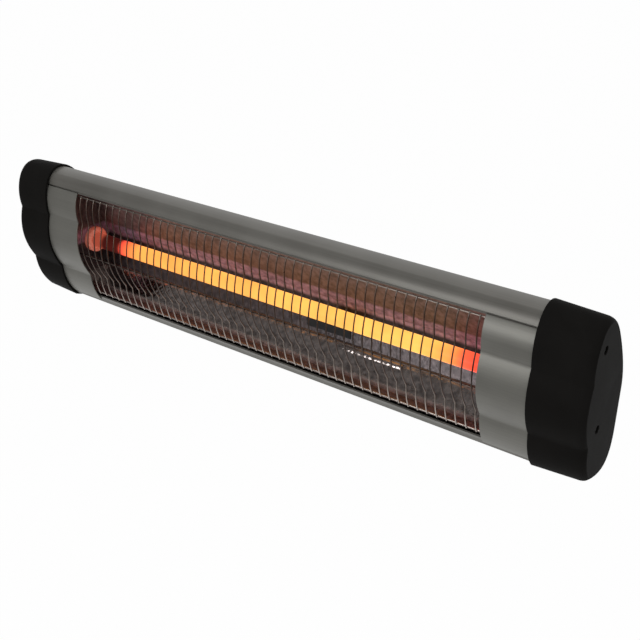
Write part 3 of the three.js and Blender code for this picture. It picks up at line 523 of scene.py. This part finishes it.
def eased(mesh, width, steps):
    """Rounds a solid's sharp edges by a width in millimetres, and shades its curved faces smooth."""
    if width:
        holder = object_of(mesh)
        modifier = holder.modifiers.new("edges", "BEVEL")
        modifier.width = width * MM
        modifier.segments = steps
        modifier.limit_method = "ANGLE"
        modifier.angle_limit = math.radians(40)
        mesh = settled(holder)
    mesh.shade_smooth()
    mesh.set_sharp_from_angle(angle=math.radians(38))
    holder = object_of(mesh)
    modifier = holder.modifiers.new("normals", "WEIGHTED_NORMAL")
    modifier.keep_sharp = True
    return settled(holder)


def keep(name, mesh, slot, replaces, body="heater", edge=0.0, steps=2):
    """Makes a piece of a solid: eases its edges, gives it its finish, and hangs it on its body."""
    mesh = eased(mesh, edge, steps)
    mesh.name = name
    mesh.materials.clear()
    mesh.materials.append(FINISHES[slot])
    piece = object_of(mesh, name)
    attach(piece, body)
    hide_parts(*replaces)
    return piece


def keep_pair(name, mesh, slot, nodes, **how):
    """A right-hand piece and its left-hand twin. Their bodies take the side's name where they say {side}."""
    body = how.pop("body", "heater")
    for side, solid_of_side in (("right", mesh), ("left", mirrored(mesh))):
        replaces = [f"{node}_{side}" for node in nodes]
        keep(f"{name}_{side}", solid_of_side, slot, replaces, body=body.format(side=side), **how)


def deburred(node, slot, body="heater", edge=0.3, steps=2):
    """Stands in for a CAD node whose shape is right, with its sharp edges rounded off."""
    build = bmesh.new()
    build.from_mesh(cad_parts[node].data)
    bmesh.ops.remove_doubles(build, verts=build.verts, dist=1e-6)
    bmesh.ops.dissolve_limit(
        build, angle_limit=math.radians(0.5), verts=build.verts, edges=build.edges,
        use_dissolve_boundaries=False,
    )
    keep(f"{node}_deburred", solid(build), slot, [node], body=body, edge=edge, steps=steps)


# ---- lines of the cross-section ----
def curve(steps, *controls):
    """Points along a Bezier curve."""
    line = []
    for step in range(steps + 1):
        points = [Vector(control) for control in controls]
        while len(points) > 1:
            points = [one.lerp(other, step / steps) for one, other in zip(points, points[1:])]
        line.append(points[0])
    return line


def chained(*lines):
    """Lines end to end, without the points that repeat."""
    points = []
    for point in (Vector(point) for line in lines for point in line):
        if not points or (point - points[-1]).length > 1e-6:
            points.append(point)
    return points


def moved_left(points, distance, closed=False):
    """A line moved sideways, towards its left, keeping its corners sharp."""
    count = len(points)
    line = []
    for index, point in enumerate(points):
        before = points[index - 1] if closed or index > 0 else point
        after = points[(index + 1) % count] if closed or index < count - 1 else point
        into = (point - before).normalized() if before != point else (after - point).normalized()
        out = (after - point).normalized() if after != point else into
        middle = (into + out).normalized()
        line.append(point + Vector((-middle.y, middle.x)) * (distance / middle.dot(into)))
    return line


def at_height(points, height):
    """Where a line that runs downwards passes a height."""
    for one, other in zip(points, points[1:]):
        if other.y <= height:
            return one.lerp(other, (one.y - height) / (one.y - other.y))
    return points[-1]


def between(points, high, low):
    """The stretch of a downward line between two heights."""
    inner = [point for point in points if high - 0.3 > point.y > low + 0.3]
    return [at_height(points, high), *inner, at_height(points, low)]


def sheet_outline(points, from_offset, to_offset):
    """The outline of a sheet of even thickness that follows a line."""
    return [*moved_left(points, from_offset), *reversed(moved_left(points, to_offset))]


def back_line():
    """From the chin under and up the back to the crown."""
    rear_low, rear_high = (REAR_FACE, -136), (REAR_FACE, -86)
    return chained(
        curve(CURVE_STEPS, CHIN, (38, -175.3), (52, -177)),
        curve(CURVE_STEPS, (52, -177), (REAR_FACE, -181), rear_low),
        (rear_low, rear_high),
        curve(CURVE_STEPS, rear_high, (REAR_FACE, -58), (52.2, -7.6)),
        curve(CURVE_STEPS, (52.2, -7.6), (38, 13.8), CROWN),
    )


MIDDLE_LOBE = curve(CURVE_STEPS, VALLEY_1, (-21, -83), VALLEY_2)
LOWER_LOBE = curve(CURVE_STEPS, VALLEY_2, (4.5, -148), CHIN)
FRONT = chained(curve(CURVE_STEPS, (0, 0), (-12, -17), VALLEY_1), MIDDLE_LOBE, LOWER_LOBE)
HOUSING = chained(
    back_line(), curve(CURVE_STEPS, CROWN, (12, 18.3), (2, 11.6), at_height(FRONT, UPPER_LIP[0])),
)
CAP = chained(
    back_line(), curve(CURVE_STEPS + 8, CROWN, (-2.6, 21.7), (-13.4, -17.2), VALLEY_1),
    MIDDLE_LOBE, LOWER_LOBE,
)[:-1]


# ---- housing and front panels ----
def housing_extrusion():
    lower_lip, upper_lip = (moved_left(between(FRONT, *lip), LIP_BEHIND) for lip in (LOWER_LIP, UPPER_LIP))
    line = chained(lower_lip, HOUSING, upper_lip)
    wall = drawn(sheet_outline(line, 0, HOUSING_WALL), -HOUSING_END_X, HOUSING_END_X)
    x_axis, length = (1, 0, 0), 2 * HOUSING_END_X
    (top_back, top_up), (low_back, low_up) = SCREW_PORTS
    posts = [rod(PORT_RADIUS, length, x_axis, at(-HOUSING_END_X, *port)) for port in SCREW_PORTS]
    webs = [
        box((-HOUSING_END_X, top_back - 1, top_up), (HOUSING_END_X, top_back + 1, top_up + 8)),
        box((-HOUSING_END_X, low_back, low_up - 1), (HOUSING_END_X, low_back + 17, low_up + 1)),
    ]
    bores = [rod(PORT_BORE_RADIUS, length + 4, x_axis, at(-HOUSING_END_X - 2, *port)) for port in SCREW_PORTS]
    # Over each panel the lip is grooved, which leaves a thin dark line between the panel and the top.
    groove = sheet_outline(between(FRONT, GROOVE_TOP, PANEL_TOP), 1.2, 3.2)
    past_end = HOUSING_END_X + 1
    grooves = [drawn(groove, *span) for span in ((OPENING_X, past_end), (-past_end, -OPENING_X))]
    return combined("DIFFERENCE", combined("UNION", wall, posts + webs), bores + grooves)


keep("housing_extrusion", housing_extrusion(), "anodised_housing", ["housing"], edge=0.35)
panel_outline = sheet_outline(between(FRONT, PANEL_TOP, PANEL_BOTTOM), 0, PANEL_SHEET)
panel = drawn(panel_outline, OPENING_X, HOUSING_END_X)
keep_pair("front_cover", panel, "anodised_panel", ["front_panel"], edge=0.4)


# ---- wire guard, grown along X ----
def new_tree(name, *inputs):
    """A Geometry Nodes tree with named inputs, and its input and output nodes."""
    tree = bpy.data.node_groups.new(name, "GeometryNodeTree")
    tree.interface.new_socket("Geometry", in_out="OUTPUT", socket_type="NodeSocketGeometry")
    for label, kind in inputs:
        tree.interface.new_socket(label, in_out="INPUT", socket_type=f"NodeSocket{kind}")
    return tree, add(tree, "NodeGroupInput").outputs


def end_tree(tree, geometry, material):
    """Ends a tree with real geometry in one material."""
    real = add(tree, "GeometryNodeRealizeInstances", {}, {0: geometry})
    dressed = add(tree, "GeometryNodeSetMaterial", {}, {"Geometry": real.outputs[0], "Material": material})
    add(tree, "NodeGroupOutput", {}, {0: dressed.outputs[0]})


def grown(tree, start, slot, **sizes):
    """What a tree grows from a starting mesh, as a plain mesh."""
    holder = object_of(start)
    modifier = holder.modifiers.new("grow", "NODES")
    modifier.node_group = tree
    sockets = {item.name: item.identifier for item in tree.interface.items_tree if item.in_out == "INPUT"}
    modifier[sockets["Material"]] = FINISHES[slot]
    for label, value in sizes.items():
        modifier[sockets[label.replace("_", " ").title()]] = value
    return settled(holder)


def paths_mesh(*paths):
    """A mesh of bare lines, one for each path."""
    mesh = bpy.data.meshes.new("paths")
    points = [point for path in paths for point in path]
    edges = []
    start = 0
    for path in paths:
        edges += [(start + step, start + step + 1) for step in range(len(path) - 1)]
        start += len(path)
    mesh.from_pydata(points, edges, [])
    return mesh


def wire_row_tree():
    """Round wires along the given paths, the whole set repeated in a row along X."""
    tree, inputs = new_tree(
        "wire_row", ("Geometry", "Geometry"), ("Wire Radius", "Float"), ("Sides", "Int"),
        ("Count", "Int"), ("Pitch", "Float"), ("Material", "Material"),
    )
    path = add(tree, "GeometryNodeMeshToCurve", {}, {"Mesh": inputs["Geometry"]})
    section = add(tree, "GeometryNodeCurvePrimitiveCircle", {}, {
        "Resolution": inputs["Sides"], "Radius": inputs["Wire Radius"],
    })
    wire = add(tree, "GeometryNodeCurveToMesh", {}, {
        "Curve": path.outputs[0], "Profile Curve": section.outputs[0], "Fill Caps": True,
    })
    gaps = add(tree, "ShaderNodeMath", {"operation": "SUBTRACT"}, {0: inputs["Count"], 1: 1.0})
    halves = add(tree, "ShaderNodeMath", {"operation": "MULTIPLY"}, {0: gaps.outputs[0], 1: -0.5})
    first = add(tree, "ShaderNodeMath", {"operation": "MULTIPLY"}, {0: halves.outputs[0], 1: inputs["Pitch"]})
    start = add(tree, "ShaderNodeCombineXYZ", {}, {"X": first.outputs[0]})
    stride = add(tree, "ShaderNodeCombineXYZ", {}, {"X": inputs["Pitch"]})
    row = add(tree, "GeometryNodeMeshLine", {}, {
        "Count": inputs["Count"], "Start Location": start.outputs[0], "Offset": stride.outputs[0],
    })
    wires = add(tree, "GeometryNodeInstanceOnPoints", {}, {
        "Points": row.outputs[0], "Instance": wire.outputs[0],
    })
    end_tree(tree, wires.outputs[0], inputs["Material"])
    return tree


WIRE_ROW = wire_row_tree()
wire_path = [at(0, *point) for point in moved_left(between(FRONT, WIRE_TOP, WIRE_BOTTOM), WIRE_BEHIND)]
uprights = grown(
    WIRE_ROW, paths_mesh(wire_path), "guard_wire",
    wire_radius=WIRE_RADIUS * MM, sides=10, count=WIRE_COUNT, pitch=WIRE_PITCH * MM,
)
rod_line = moved_left(between(FRONT, WIRE_TOP, LOWER_LIP[0]), ROD_BEHIND)
rod_places = [at_height(rod_line, height) for height in ROD_HEIGHTS]
rod_paths = [[at(-ROD_HALF_LENGTH, *spot), at(ROD_HALF_LENGTH, *spot)] for spot in rod_places]
rods = grown(
    WIRE_ROW, paths_mesh(*rod_paths), "guard_wire", wire_radius=ROD_RADIUS * MM, sides=14, count=1, pitch=0.0,
)
keep("guard_uprights", uprights, "guard_wire", ["wire_guard"])
keep("guard_rods", rods, "guard_wire", ["wire_guard"])


# ---- reflector ----
def rounded_bends(points, radius, steps=4):
    """A line of straight runs with an arc at each bend between them."""
    line = [points[0]]
    for before, corner, after in zip(points, points[1:], points[2:]):
        start = corner + (before - corner).normalized() * radius
        end = corner + (after - corner).normalized() * radius
        line += curve(steps, start, corner, end)
    return [*line, points[-1]]


def reflector_bead():
    """The polished strip beside the saddle, raised into a low bead along the reflector's lower facet. Its
    start and width are shares of that facet, from the top down."""
    steps = 16
    low, high = Vector(REFLECTOR_BENDS[1]), Vector(REFLECTOR_BENDS[2])
    away = Vector((low.y - high.y, high.x - low.x)).normalized()
    line = [high.lerp(low, STRIP_START + STRIP_WIDTH * step / steps) for step in range(steps + 1)]
    top = [point + away * (0.4 + 0.8 * math.sin(math.pi * step / steps)) for step, point in enumerate(line)]
    return drawn([line[0] + away * 0.3, *top, line[-1] + away * 0.3], *STRIP_X)


bends = rounded_bends([Vector(bend) for bend in REFLECTOR_BENDS], 0.6)
trough = drawn(sheet_outline(bends, -REFLECTOR_SHEET, 0), -REFLECTOR_HALF_LENGTH, REFLECTOR_HALF_LENGTH)
keep("reflector_trough", trough, "polished_reflector", ["reflector"], edge=0.2)
for side in ("right", "left"):
    deburred(f"reflector_end_{side}", "polished_reflector", edge=0.2)
keep("reflector_bead", reflector_bead(), "polished_reflector", ["reflector_strip"])
deburred("lamp_saddle", "black_steel", edge=0.3)

# ---- lamp ----
tube_profile = (
    (TUBE_BORE, 0), (TUBE_RADIUS, 0), (TUBE_RADIUS, 2 * TUBE_HALF_LENGTH), (TUBE_BORE, 2 * TUBE_HALF_LENGTH),
)
tube = turned(tube_profile, (1, 0, 0), at(-TUBE_HALF_LENGTH, *TUBE))
keep("lamp_tube", tube, "quartz_glass", ["quartz_tube"], edge=0.4, steps=3)


def coil_tree():
    """A close coil of round wire along X, with a straight tail out of each end."""
    tree, inputs = new_tree(
        "lamp_coil", ("Geometry", "Geometry"), ("Coil Radius", "Float"), ("Half Length", "Float"),
        ("Turns", "Float"), ("Wire Radius", "Float"), ("Tail Length", "Float"), ("Material", "Material"),
    )
    whole = add(tree, "ShaderNodeMath", {"operation": "MULTIPLY"}, {0: inputs["Half Length"], 1: 2.0})
    spiral = add(tree, "GeometryNodeCurveSpiral", {}, {
        "Resolution": 16, "Rotations": inputs["Turns"], "Start Radius": inputs["Coil Radius"],
        "End Radius": inputs["Coil Radius"], "Height": whole.outputs[0],
    })
    lying = add(tree, "GeometryNodeTransform", {}, {
        "Geometry": spiral.outputs[0], "Rotation": (0, math.pi / 2, 0),
    })
    back = add(tree, "ShaderNodeMath", {"operation": "MULTIPLY"}, {0: inputs["Half Length"], 1: -1.0})
    shift = add(tree, "ShaderNodeCombineXYZ", {}, {"X": back.outputs[0]})
    centred = add(tree, "GeometryNodeTransform", {}, {
        "Geometry": lying.outputs[0], "Translation": shift.outputs[0],
    })
    tip = add(tree, "ShaderNodeMath", {"operation": "ADD"}, {
        0: inputs["Half Length"], 1: inputs["Tail Length"],
    })
    ends = []
    for sign in (1.0, -1.0):
        near = add(tree, "ShaderNodeMath", {"operation": "MULTIPLY"}, {0: inputs["Half Length"], 1: sign})
        far = add(tree, "ShaderNodeMath", {"operation": "MULTIPLY"}, {0: tip.outputs[0], 1: sign})
        near_spot = add(tree, "ShaderNodeCombineXYZ", {}, {"X": near.outputs[0]})
        far_spot = add(tree, "ShaderNodeCombineXYZ", {}, {"X": far.outputs[0]})
        ends.append(add(tree, "GeometryNodeCurvePrimitiveLine", {}, {
            "Start": near_spot.outputs[0], "End": far_spot.outputs[0],
        }))
    wires = add(tree, "GeometryNodeJoinGeometry")
    for part in (centred, *ends):
        tree.links.new(part.outputs[0], wires.inputs[0])
    section = add(tree, "GeometryNodeCurvePrimitiveCircle", {}, {
        "Resolution": 6, "Radius": inputs["Wire Radius"],
    })
    wire = add(tree, "GeometryNodeCurveToMesh", {}, {
        "Curve": wires.outputs[0], "Profile Curve": section.outputs[0], "Fill Caps": True,
    })
    axis = add(tree, "GeometryNodeTransform", {}, {"Geometry": wire.outputs[0], "Translation": at(0, *TUBE)})
    end_tree(tree, axis.outputs[0], inputs["Material"])
    return tree


coil = grown(
    coil_tree(), paths_mesh(), "glowing_filament",
    coil_radius=COIL_RADIUS * MM, half_length=COIL_HALF_LENGTH * MM, turns=2 * COIL_HALF_LENGTH / COIL_PITCH,
    wire_radius=COIL_WIRE_RADIUS * MM, tail_length=(TUBE_HALF_LENGTH - COIL_HALF_LENGTH - 1) * MM,
)
keep("lamp_coil", coil, "glowing_filament", ["heating_element"])

holder_profile = (
    (10.3, 0.9), (12.6, 0.9), (12.6, 0), (15.4, 0), (17, 1.6), (17, 9), (12, 9), (12, 23), (10.3, 23),
)
holder = turned(holder_profile, (1, 0, 0), at(HOLDER_FACE_X, *TUBE), 64)
keep_pair("ceramic_holder", holder, "white_ceramic", ["lamp_holder"], edge=0.5, steps=3)


# ---- end caps ----
def cap_ring(x, outward, bare=False):
    """The cap's outline at some x, moved outward, and drawn in a little towards the outer end."""
    share = 0 if bare else max(0, (x - CAP_EDGE_X) / (HALF_LENGTH - CAP_EDGE_X))
    scale = 1 - CAP_TAPER * share
    middle = Vector(CAP_MIDDLE)
    return [at(x, *(middle + (point - middle) * scale)) for point in moved_left(CAP, -outward, closed=True)]


def cap_shell():
    """A cap's skin, from the flat of its outer end round its rim to the flat inside."""
    rings = []
    round_steps = 10
    inset = CAP_PROUD - CAP_ROUND_HEIGHT
    for step in range(round_steps + 1):
        angle = math.pi / 2 * step / round_steps
        x = HALF_LENGTH - CAP_ROUND_LENGTH * (1 - math.cos(angle))
        rings.append(cap_ring(x, inset + CAP_ROUND_HEIGHT * math.sin(angle)))
    for x in (395, 385, 375, 365, 355, CAP_EDGE_X + 0.8):
        rings.append(cap_ring(x, CAP_PROUD))
    rings.append(cap_ring(CAP_EDGE_X + 0.25, CAP_PROUD - 0.2))
    rings.append(cap_ring(CAP_EDGE_X, CAP_PROUD - 0.7))
    rings.append(cap_ring(CAP_EDGE_X, CAP_CLEARANCE, bare=True))
    rings.append(cap_ring(CAP_SOCKET_END_X, CAP_CLEARANCE, bare=True))
    rings.append(cap_ring(CAP_SOCKET_END_X, -1))
    rings.append(cap_ring(CAP_INNER_END_X - 4, -1))
    for step in range(1, 4):
        angle = math.pi / 2 * step / 3
        rings.append(cap_ring(CAP_INNER_END_X - 4 + 4 * math.sin(angle), -1 - 4 * (1 - math.cos(angle))))
    return lofted(rings)


def end_cap(has_gland):
    x_axis = (1, 0, 0)
    boss_length = CAP_INNER_END_X + 1 - CAP_SOCKET_END_X
    bosses = [rod(CAP_BOSS_RADIUS, boss_length, x_axis, at(CAP_SOCKET_END_X, *spot)) for spot in CAP_SCREWS]
    floor_of_recess = HALF_LENGTH - CAP_RECESS_DEPTH
    recess_profile = (
        (0, 0), (4.6, 0), (4.6, CAP_RECESS_DEPTH - 0.5), (5.6, CAP_RECESS_DEPTH + 0.5), (5.6, 8), (0, 8),
    )
    recesses = [turned(recess_profile, x_axis, at(floor_of_recess, *spot)) for spot in CAP_SCREWS]
    ways = [rod(CAP_SCREW_WAY_RADIUS, 70, x_axis, at(CAP_EDGE_X, *spot)) for spot in CAP_SCREWS]
    gland_x, gland_back, gland_up = GLAND
    y_axis = (0, 1, 0)
    if has_gland:
        bosses.append(turned(
            ((0, 0), (13, 0), (13, 5.5), (12.5, 6), (0, 6)), y_axis, at(gland_x, gland_back - 6, gland_up),
        ))
        ways.append(rod(CAP_GLAND_WAY_RADIUS, 30, y_axis, at(gland_x, gland_back - 15, gland_up)))
    return combined("DIFFERENCE", combined("UNION", cap_shell(), bosses), recesses + ways)


keep("cap_moulding_right", end_cap(True), "black_plastic", ["end_cap_right"])
keep("cap_moulding_left", mirrored(end_cap(False)), "black_plastic", ["end_cap_left"])


# ---- screws, grown on their places ----
def screw_set_tree():
    """A pan-head screw with a cross recess, on each point and facing the way the point says."""
    tree, inputs = new_tree(
        "screw_set", ("Geometry", "Geometry"), ("Head Radius", "Float"), ("Head Height", "Float"),
        ("Shank Radius", "Float"), ("Shank Length", "Float"), ("Material", "Material"),
    )

    def share(socket, factor):
        return add(tree, "ShaderNodeMath", {"operation": "MULTIPLY"}, {
            0: inputs[socket], 1: factor,
        }).outputs[0]

    def stood(geometry, height):
        lift = add(tree, "ShaderNodeCombineXYZ", {}, {"Z": height})
        return add(tree, "GeometryNodeTransform", {}, {
            "Geometry": geometry, "Translation": lift.outputs[0],
        }).outputs[0]

    rim = add(tree, "GeometryNodeMeshCylinder", {}, {
        "Vertices": 32, "Radius": inputs["Head Radius"], "Depth": share("Head Height", 0.45),
    })
    dome = add(tree, "GeometryNodeMeshCone", {}, {
        "Vertices": 32, "Radius Bottom": inputs["Head Radius"], "Radius Top": share("Head Radius", 0.66),
        "Depth": share("Head Height", 0.55),
    })
    shank = add(tree, "GeometryNodeMeshCylinder", {}, {
        "Vertices": 24, "Radius": inputs["Shank Radius"], "Depth": inputs["Shank Length"],
    })
    body = add(tree, "GeometryNodeMeshBoolean", {"operation": "UNION"})
    for geometry in (
        stood(rim.outputs[0], share("Head Height", 0.225)),
        stood(dome.outputs[0], share("Head Height", 0.45)),
        stood(shank.outputs[0], share("Shank Length", -0.49)),
    ):
        tree.links.new(geometry, body.inputs["Mesh"])
    # The blades of the driver: each is as long as the head's flat top and a fifth as wide.
    long_side, short_side = share("Head Radius", 1.1), share("Head Radius", 0.24)
    depth = share("Head Height", 1.0)
    blades = []
    for x_side, y_side in ((long_side, short_side), (short_side, long_side)):
        size = add(tree, "ShaderNodeCombineXYZ", {}, {"X": x_side, "Y": y_side, "Z": depth})
        blade = add(tree, "GeometryNodeMeshCube", {}, {"Size": size.outputs[0]})
        blades.append(stood(blade.outputs[0], share("Head Height", 1.0)))
    cut = add(tree, "GeometryNodeMeshBoolean", {"operation": "DIFFERENCE"}, {"Mesh 1": body.outputs[0]})
    for blade in blades:
        tree.links.new(blade, cut.inputs["Mesh 2"])
    facing = add(tree, "GeometryNodeInputNamedAttribute", {"data_type": "FLOAT_VECTOR"}, {"Name": "facing"})
    turn = add(tree, "FunctionNodeAlignRotationToVector", {"axis": "Z"}, {
        "Vector": facing.outputs["Attribute"],
    })
    screws = add(tree, "GeometryNodeInstanceOnPoints", {}, {
        "Points": inputs["Geometry"], "Instance": cut.outputs[0], "Rotation": turn.outputs[0],
    })
    end_tree(tree, screws.outputs[0], inputs["Material"])
    return tree


SCREW_SET = screw_set_tree()


def keep_screws(name, slot, places, nodes, head, shank):
    """A set of like screws, each (place, facing), as one piece."""
    start = bpy.data.meshes.new(name)
    start.from_pydata([place for place, _ in places], [], [])
    facing = start.attributes.new("facing", "FLOAT_VECTOR", "POINT")
    for index, (_, way) in enumerate(places):
        facing.data[index].vector = way
    mesh = grown(
        SCREW_SET, start, slot,
        head_radius=head[0] * MM, head_height=head[1] * MM,
        shank_radius=shank[0] * MM, shank_length=shank[1] * MM,
    )
    keep(name, mesh, slot, nodes)


def both_sides(name, count=2):
    return [f"{name}_{index + 1}_{side}" for index in range(count) for side in ("right", "left")]


def facing_out(x, spots):
    """Places on both ends of the heater, whose screws face outwards."""
    return [(at(sign * x, *spot), (sign, 0, 0)) for spot in spots for sign in (1, -1)]


keep_screws(
    "cap_screws", "black_steel", facing_out(CAP_SCREW_HEAD_X, CAP_SCREWS), both_sides("cap_screw"),
    (3.8, 2.4), (1.8, 53),
)
keep_screws(
    "end_plate_screws", "zinc_steel", facing_out(END_PLATE_SCREW_HEAD_X, SCREW_PORTS),
    both_sides("end_plate_screw"), (3.6, 2.4), (1.4, 14),
)
lug_screw_places = [
    (at(sign * LUG_SCREW_X, REAR_FACE + 3.1, PIVOT[1] + drop), (0, 1, 0))
    for drop in (LUG_SCREW_DROP, -LUG_SCREW_DROP) for sign in (1, -1)
]
keep_screws("lug_screws", "zinc_steel", lug_screw_places, both_sides("lug_screw"), (4, 2.5), (2.1, 9))
keep_screws(
    "earth_screw_head", "brass", [(at(*EARTH_SCREW_HEAD), (1, 0, 0))], ["earth_screw"], (3, 2.2), (1.3, 6),
)
keep_screws(
    "terminal_screw_head", "zinc_steel", [(at(*TERMINAL_SCREW_HEAD), (1, 0, 0))], ["terminal_screw"],
    (2.4, 1.6), (1.3, 20),
)


# ---- clamp knobs, gland and bracket ----
def lobed_ring(x, radius, depth):
    """A ring about the pivot with six soft lobes, whose hollows are `depth` deep."""
    points = []
    for step in range(96):
        angle = 2 * math.pi * step / 96
        reach = radius - depth * (0.5 - 0.5 * math.cos(6 * angle)) ** 1.3
        points.append(at(x, PIVOT[0] + reach * math.cos(angle), PIVOT[1] + reach * math.sin(angle)))
    return points


def knob_moulding():
    """A star knob: a round neck, a lobed grip with rounded edges, and a shallow dish in its face."""
    steps = (
        (0, 8.6, 0), (0.4, 9, 0), (4.6, 9, 0), (5, 9.6, 0.2), (5, 13, 2.2), (5.6, 14.4, 2.7), (6.8, 15, 3),
        (12.4, 15, 3), (13.8, 14.5, 2.8), (14.7, 13.3, 2.4), (15, 11.8, 2), (15, 10.4, 0.6), (14.6, 9.6, 0),
        (13.9, 8.8, 0), (13.8, 4, 0),
    )
    return lofted([lobed_ring(KNOB_X + along, radius, depth) for along, radius, depth in steps])


keep_pair("star_knob", knob_moulding(), "black_plastic", ["clamp_knob"], body="knob_{side}")


def fluted_ring(distance, radius, depth, count):
    """A ring about the gland's axis with straight flutes."""
    x, back, up = GLAND
    points = []
    for step in range(144):
        angle = 2 * math.pi * step / 144
        reach = radius - depth * (0.5 - 0.5 * math.cos(count * angle))
        points.append(at(x + reach * math.cos(angle), back + distance, up + reach * math.sin(angle)))
    return points


def gland_moulding():
    """A cable gland with an empty throat: a thread, a collar, and a fluted dome nut."""
    steps = (
        (-12, 8, 0), (0.3, 8, 0), (0.3, 10.6, 0), (0.7, 11, 0), (4.4, 11, 0), (4.9, 10.5, 0), (4.9, 9.6, 0),
        (5.4, 9.8, 0.5), (10, 9.8, 0.8), (11.6, 9.5, 0.8), (12.9, 8.7, 0.3), (13.6, 7.7, 0), (14, 6.6, 0),
        (14, 5, 0), (13.4, 4.6, 0), (-12, 4.6, 0),
    )
    rings = [fluted_ring(distance, radius, depth, 12) for distance, radius, depth in steps]
    return lofted(rings, closed=True)


keep("gland_moulding", gland_moulding(), "black_plastic", ["gland_body"])

deburred("wall_bracket", "black_steel", body="bracket", edge=0.5, steps=3)
for side in ("right", "left"):
    deburred(f"lug_{side}", "black_steel", edge=0.5, steps=3)
    deburred(f"pivot_washer_{side}", "washer_rubber", edge=0.3)
    deburred(f"pivot_nut_{side}", "zinc_steel", edge=0.3)
    deburred(f"clamp_stud_{side}", "zinc_steel", body=f"knob_{side}", edge=0.3)
    deburred(f"lamp_contact_{side}", "brass", edge=0.3)
    deburred(f"holder_ring_{side}", "zinc_steel", edge=0.2)
    deburred(f"end_plate_{side}", "zinc_steel", edge=0.2)
deburred("gland_nut", "black_plastic", edge=0.4)
deburred("terminal_block", "white_ceramic", edge=0.3)
deburred("earth_tag", "zinc_steel", edge=0.15)
for node, slot in (("live_lead", "lead_brown"), ("neutral_lead", "lead_blue"), ("earth_lead", "lead_green")):
    deburred(node, slot, edge=0)


# ---- stage, light and camera ----
DIM_FRONT = 0.18
HEATER_MIDDLE = Vector((0, -0.1, 0))


def seen_by_rays(tree, spot, dim_at, white_at, plain):
    """A brightness that metal and glass see rise along Y, from dim at one place to white at another, and that
    is plain for all else. Also 1 for the rays of the camera, and 1 for those of metal and glass."""
    path = add(tree, "ShaderNodeLightPath").outputs
    in_metal_or_glass = add(tree, "ShaderNodeMath", {"operation": "MAXIMUM"}, {
        0: path["Is Glossy Ray"], 1: path["Is Transmission Ray"],
    }).outputs[0]
    toward_back = add(tree, "ShaderNodeSeparateXYZ", {}, {0: spot}).outputs[1]
    rising = add(tree, "ShaderNodeMapRange", {}, {
        "Value": toward_back, "From Min": dim_at, "From Max": white_at, "To Min": DIM_FRONT, "To Max": 1.0,
    })
    strength = add(tree, "ShaderNodeMix", {"data_type": "FLOAT"}, {
        0: in_metal_or_glass, 2: plain, 3: rising.outputs[0],
    })
    return strength.outputs[0], path["Is Camera Ray"], in_metal_or_glass


def white_floor():
    """A white floor well below the heater, which hangs on a wall. It stays white in the picture and keeps the
    heater's soft shadow. Metal and glass see it white below and behind the heater, and dim where it runs out
    to the unlit front of the studio."""
    finish, tree, spot = new_finish("white_floor")
    tone = mottled(tree, spot, 3, 2, ("#f2f2f2", "#fafafa"))[1]
    matt = add(tree, "ShaderNodeBsdfDiffuse", {}, {"Color": tone})
    strength, by_camera, in_metal_or_glass = seen_by_rays(tree, spot, -2.6, -0.8, 1.0)
    bright = add(tree, "ShaderNodeEmission", {}, {"Color": srgb("#ffffff"), "Strength": strength})
    either = add(tree, "ShaderNodeMath", {"operation": "MAXIMUM"}, {0: by_camera, 1: in_metal_or_glass})
    seen = add(tree, "ShaderNodeMath", {"operation": "MULTIPLY"}, {0: either.outputs[0], 1: 0.97})
    end_finish(tree, add(tree, "ShaderNodeMixShader", {}, {
        0: seen.outputs[0], 1: matt.outputs[0], 2: bright.outputs[0],
    }))
    mesh = bpy.data.meshes.new("floor")
    reach, level = 40, -1.9
    corners = [(-reach, -reach, level), (reach, -reach, level), (reach, reach, level), (-reach, reach, level)]
    mesh.from_pydata(corners, [], [(0, 1, 2, 3)])
    mesh.materials.append(finish)
    object_of(mesh, "floor")


def white_world():
    """A white room: full white in the picture, an even soft light on everything, and in metal and glass white
    behind the heater and dim at the unlit front of the studio."""
    world = bpy.data.worlds.new("white_room")
    scene.world = world
    world.use_nodes = True
    tree = world.node_tree
    tree.nodes.clear()
    way = add(tree, "ShaderNodeTexCoord").outputs["Generated"]
    strength, by_camera, _ = seen_by_rays(tree, way, -0.5, 0.5, 0.7)
    level = add(tree, "ShaderNodeMix", {"data_type": "FLOAT"}, {0: by_camera, 2: strength, 3: 1.0})
    room = add(tree, "ShaderNodeBackground", {}, {"Color": srgb("#ffffff"), "Strength": level.outputs[0]})
    add(tree, "ShaderNodeOutputWorld", {}, {"Surface": room.outputs[0]})


def softbox(name, place, size, power):
    """A square soft light aimed at the middle of the heater."""
    light = bpy.data.lights.new(name, "AREA")
    light.size = size
    light.energy = power
    holder = bpy.data.objects.new(name, light)
    scene.collection.objects.link(holder)
    holder.location = place
    holder.rotation_euler = (HEATER_MIDDLE - holder.location).to_track_quat("-Z", "Y").to_euler()


white_floor()
white_world()
softbox("front_softbox", (-0.4, -2.0, 0.35), 0.9, 13)
softbox("top_softbox", (0.7, 0.0, 2.2), 1.4, 9)

camera = bpy.data.objects.new("camera", bpy.data.cameras.new("camera"))
scene.collection.objects.link(camera)
camera.location = (0.6480, -0.9054, 0.5198)
camera.rotation_euler = (math.radians(90 - 27.12), 0, math.radians(36.06))
camera.data.lens = 53.4
camera.data.sensor_width = 36
scene.camera = camera
scene.view_settings.view_transform = "Standard"
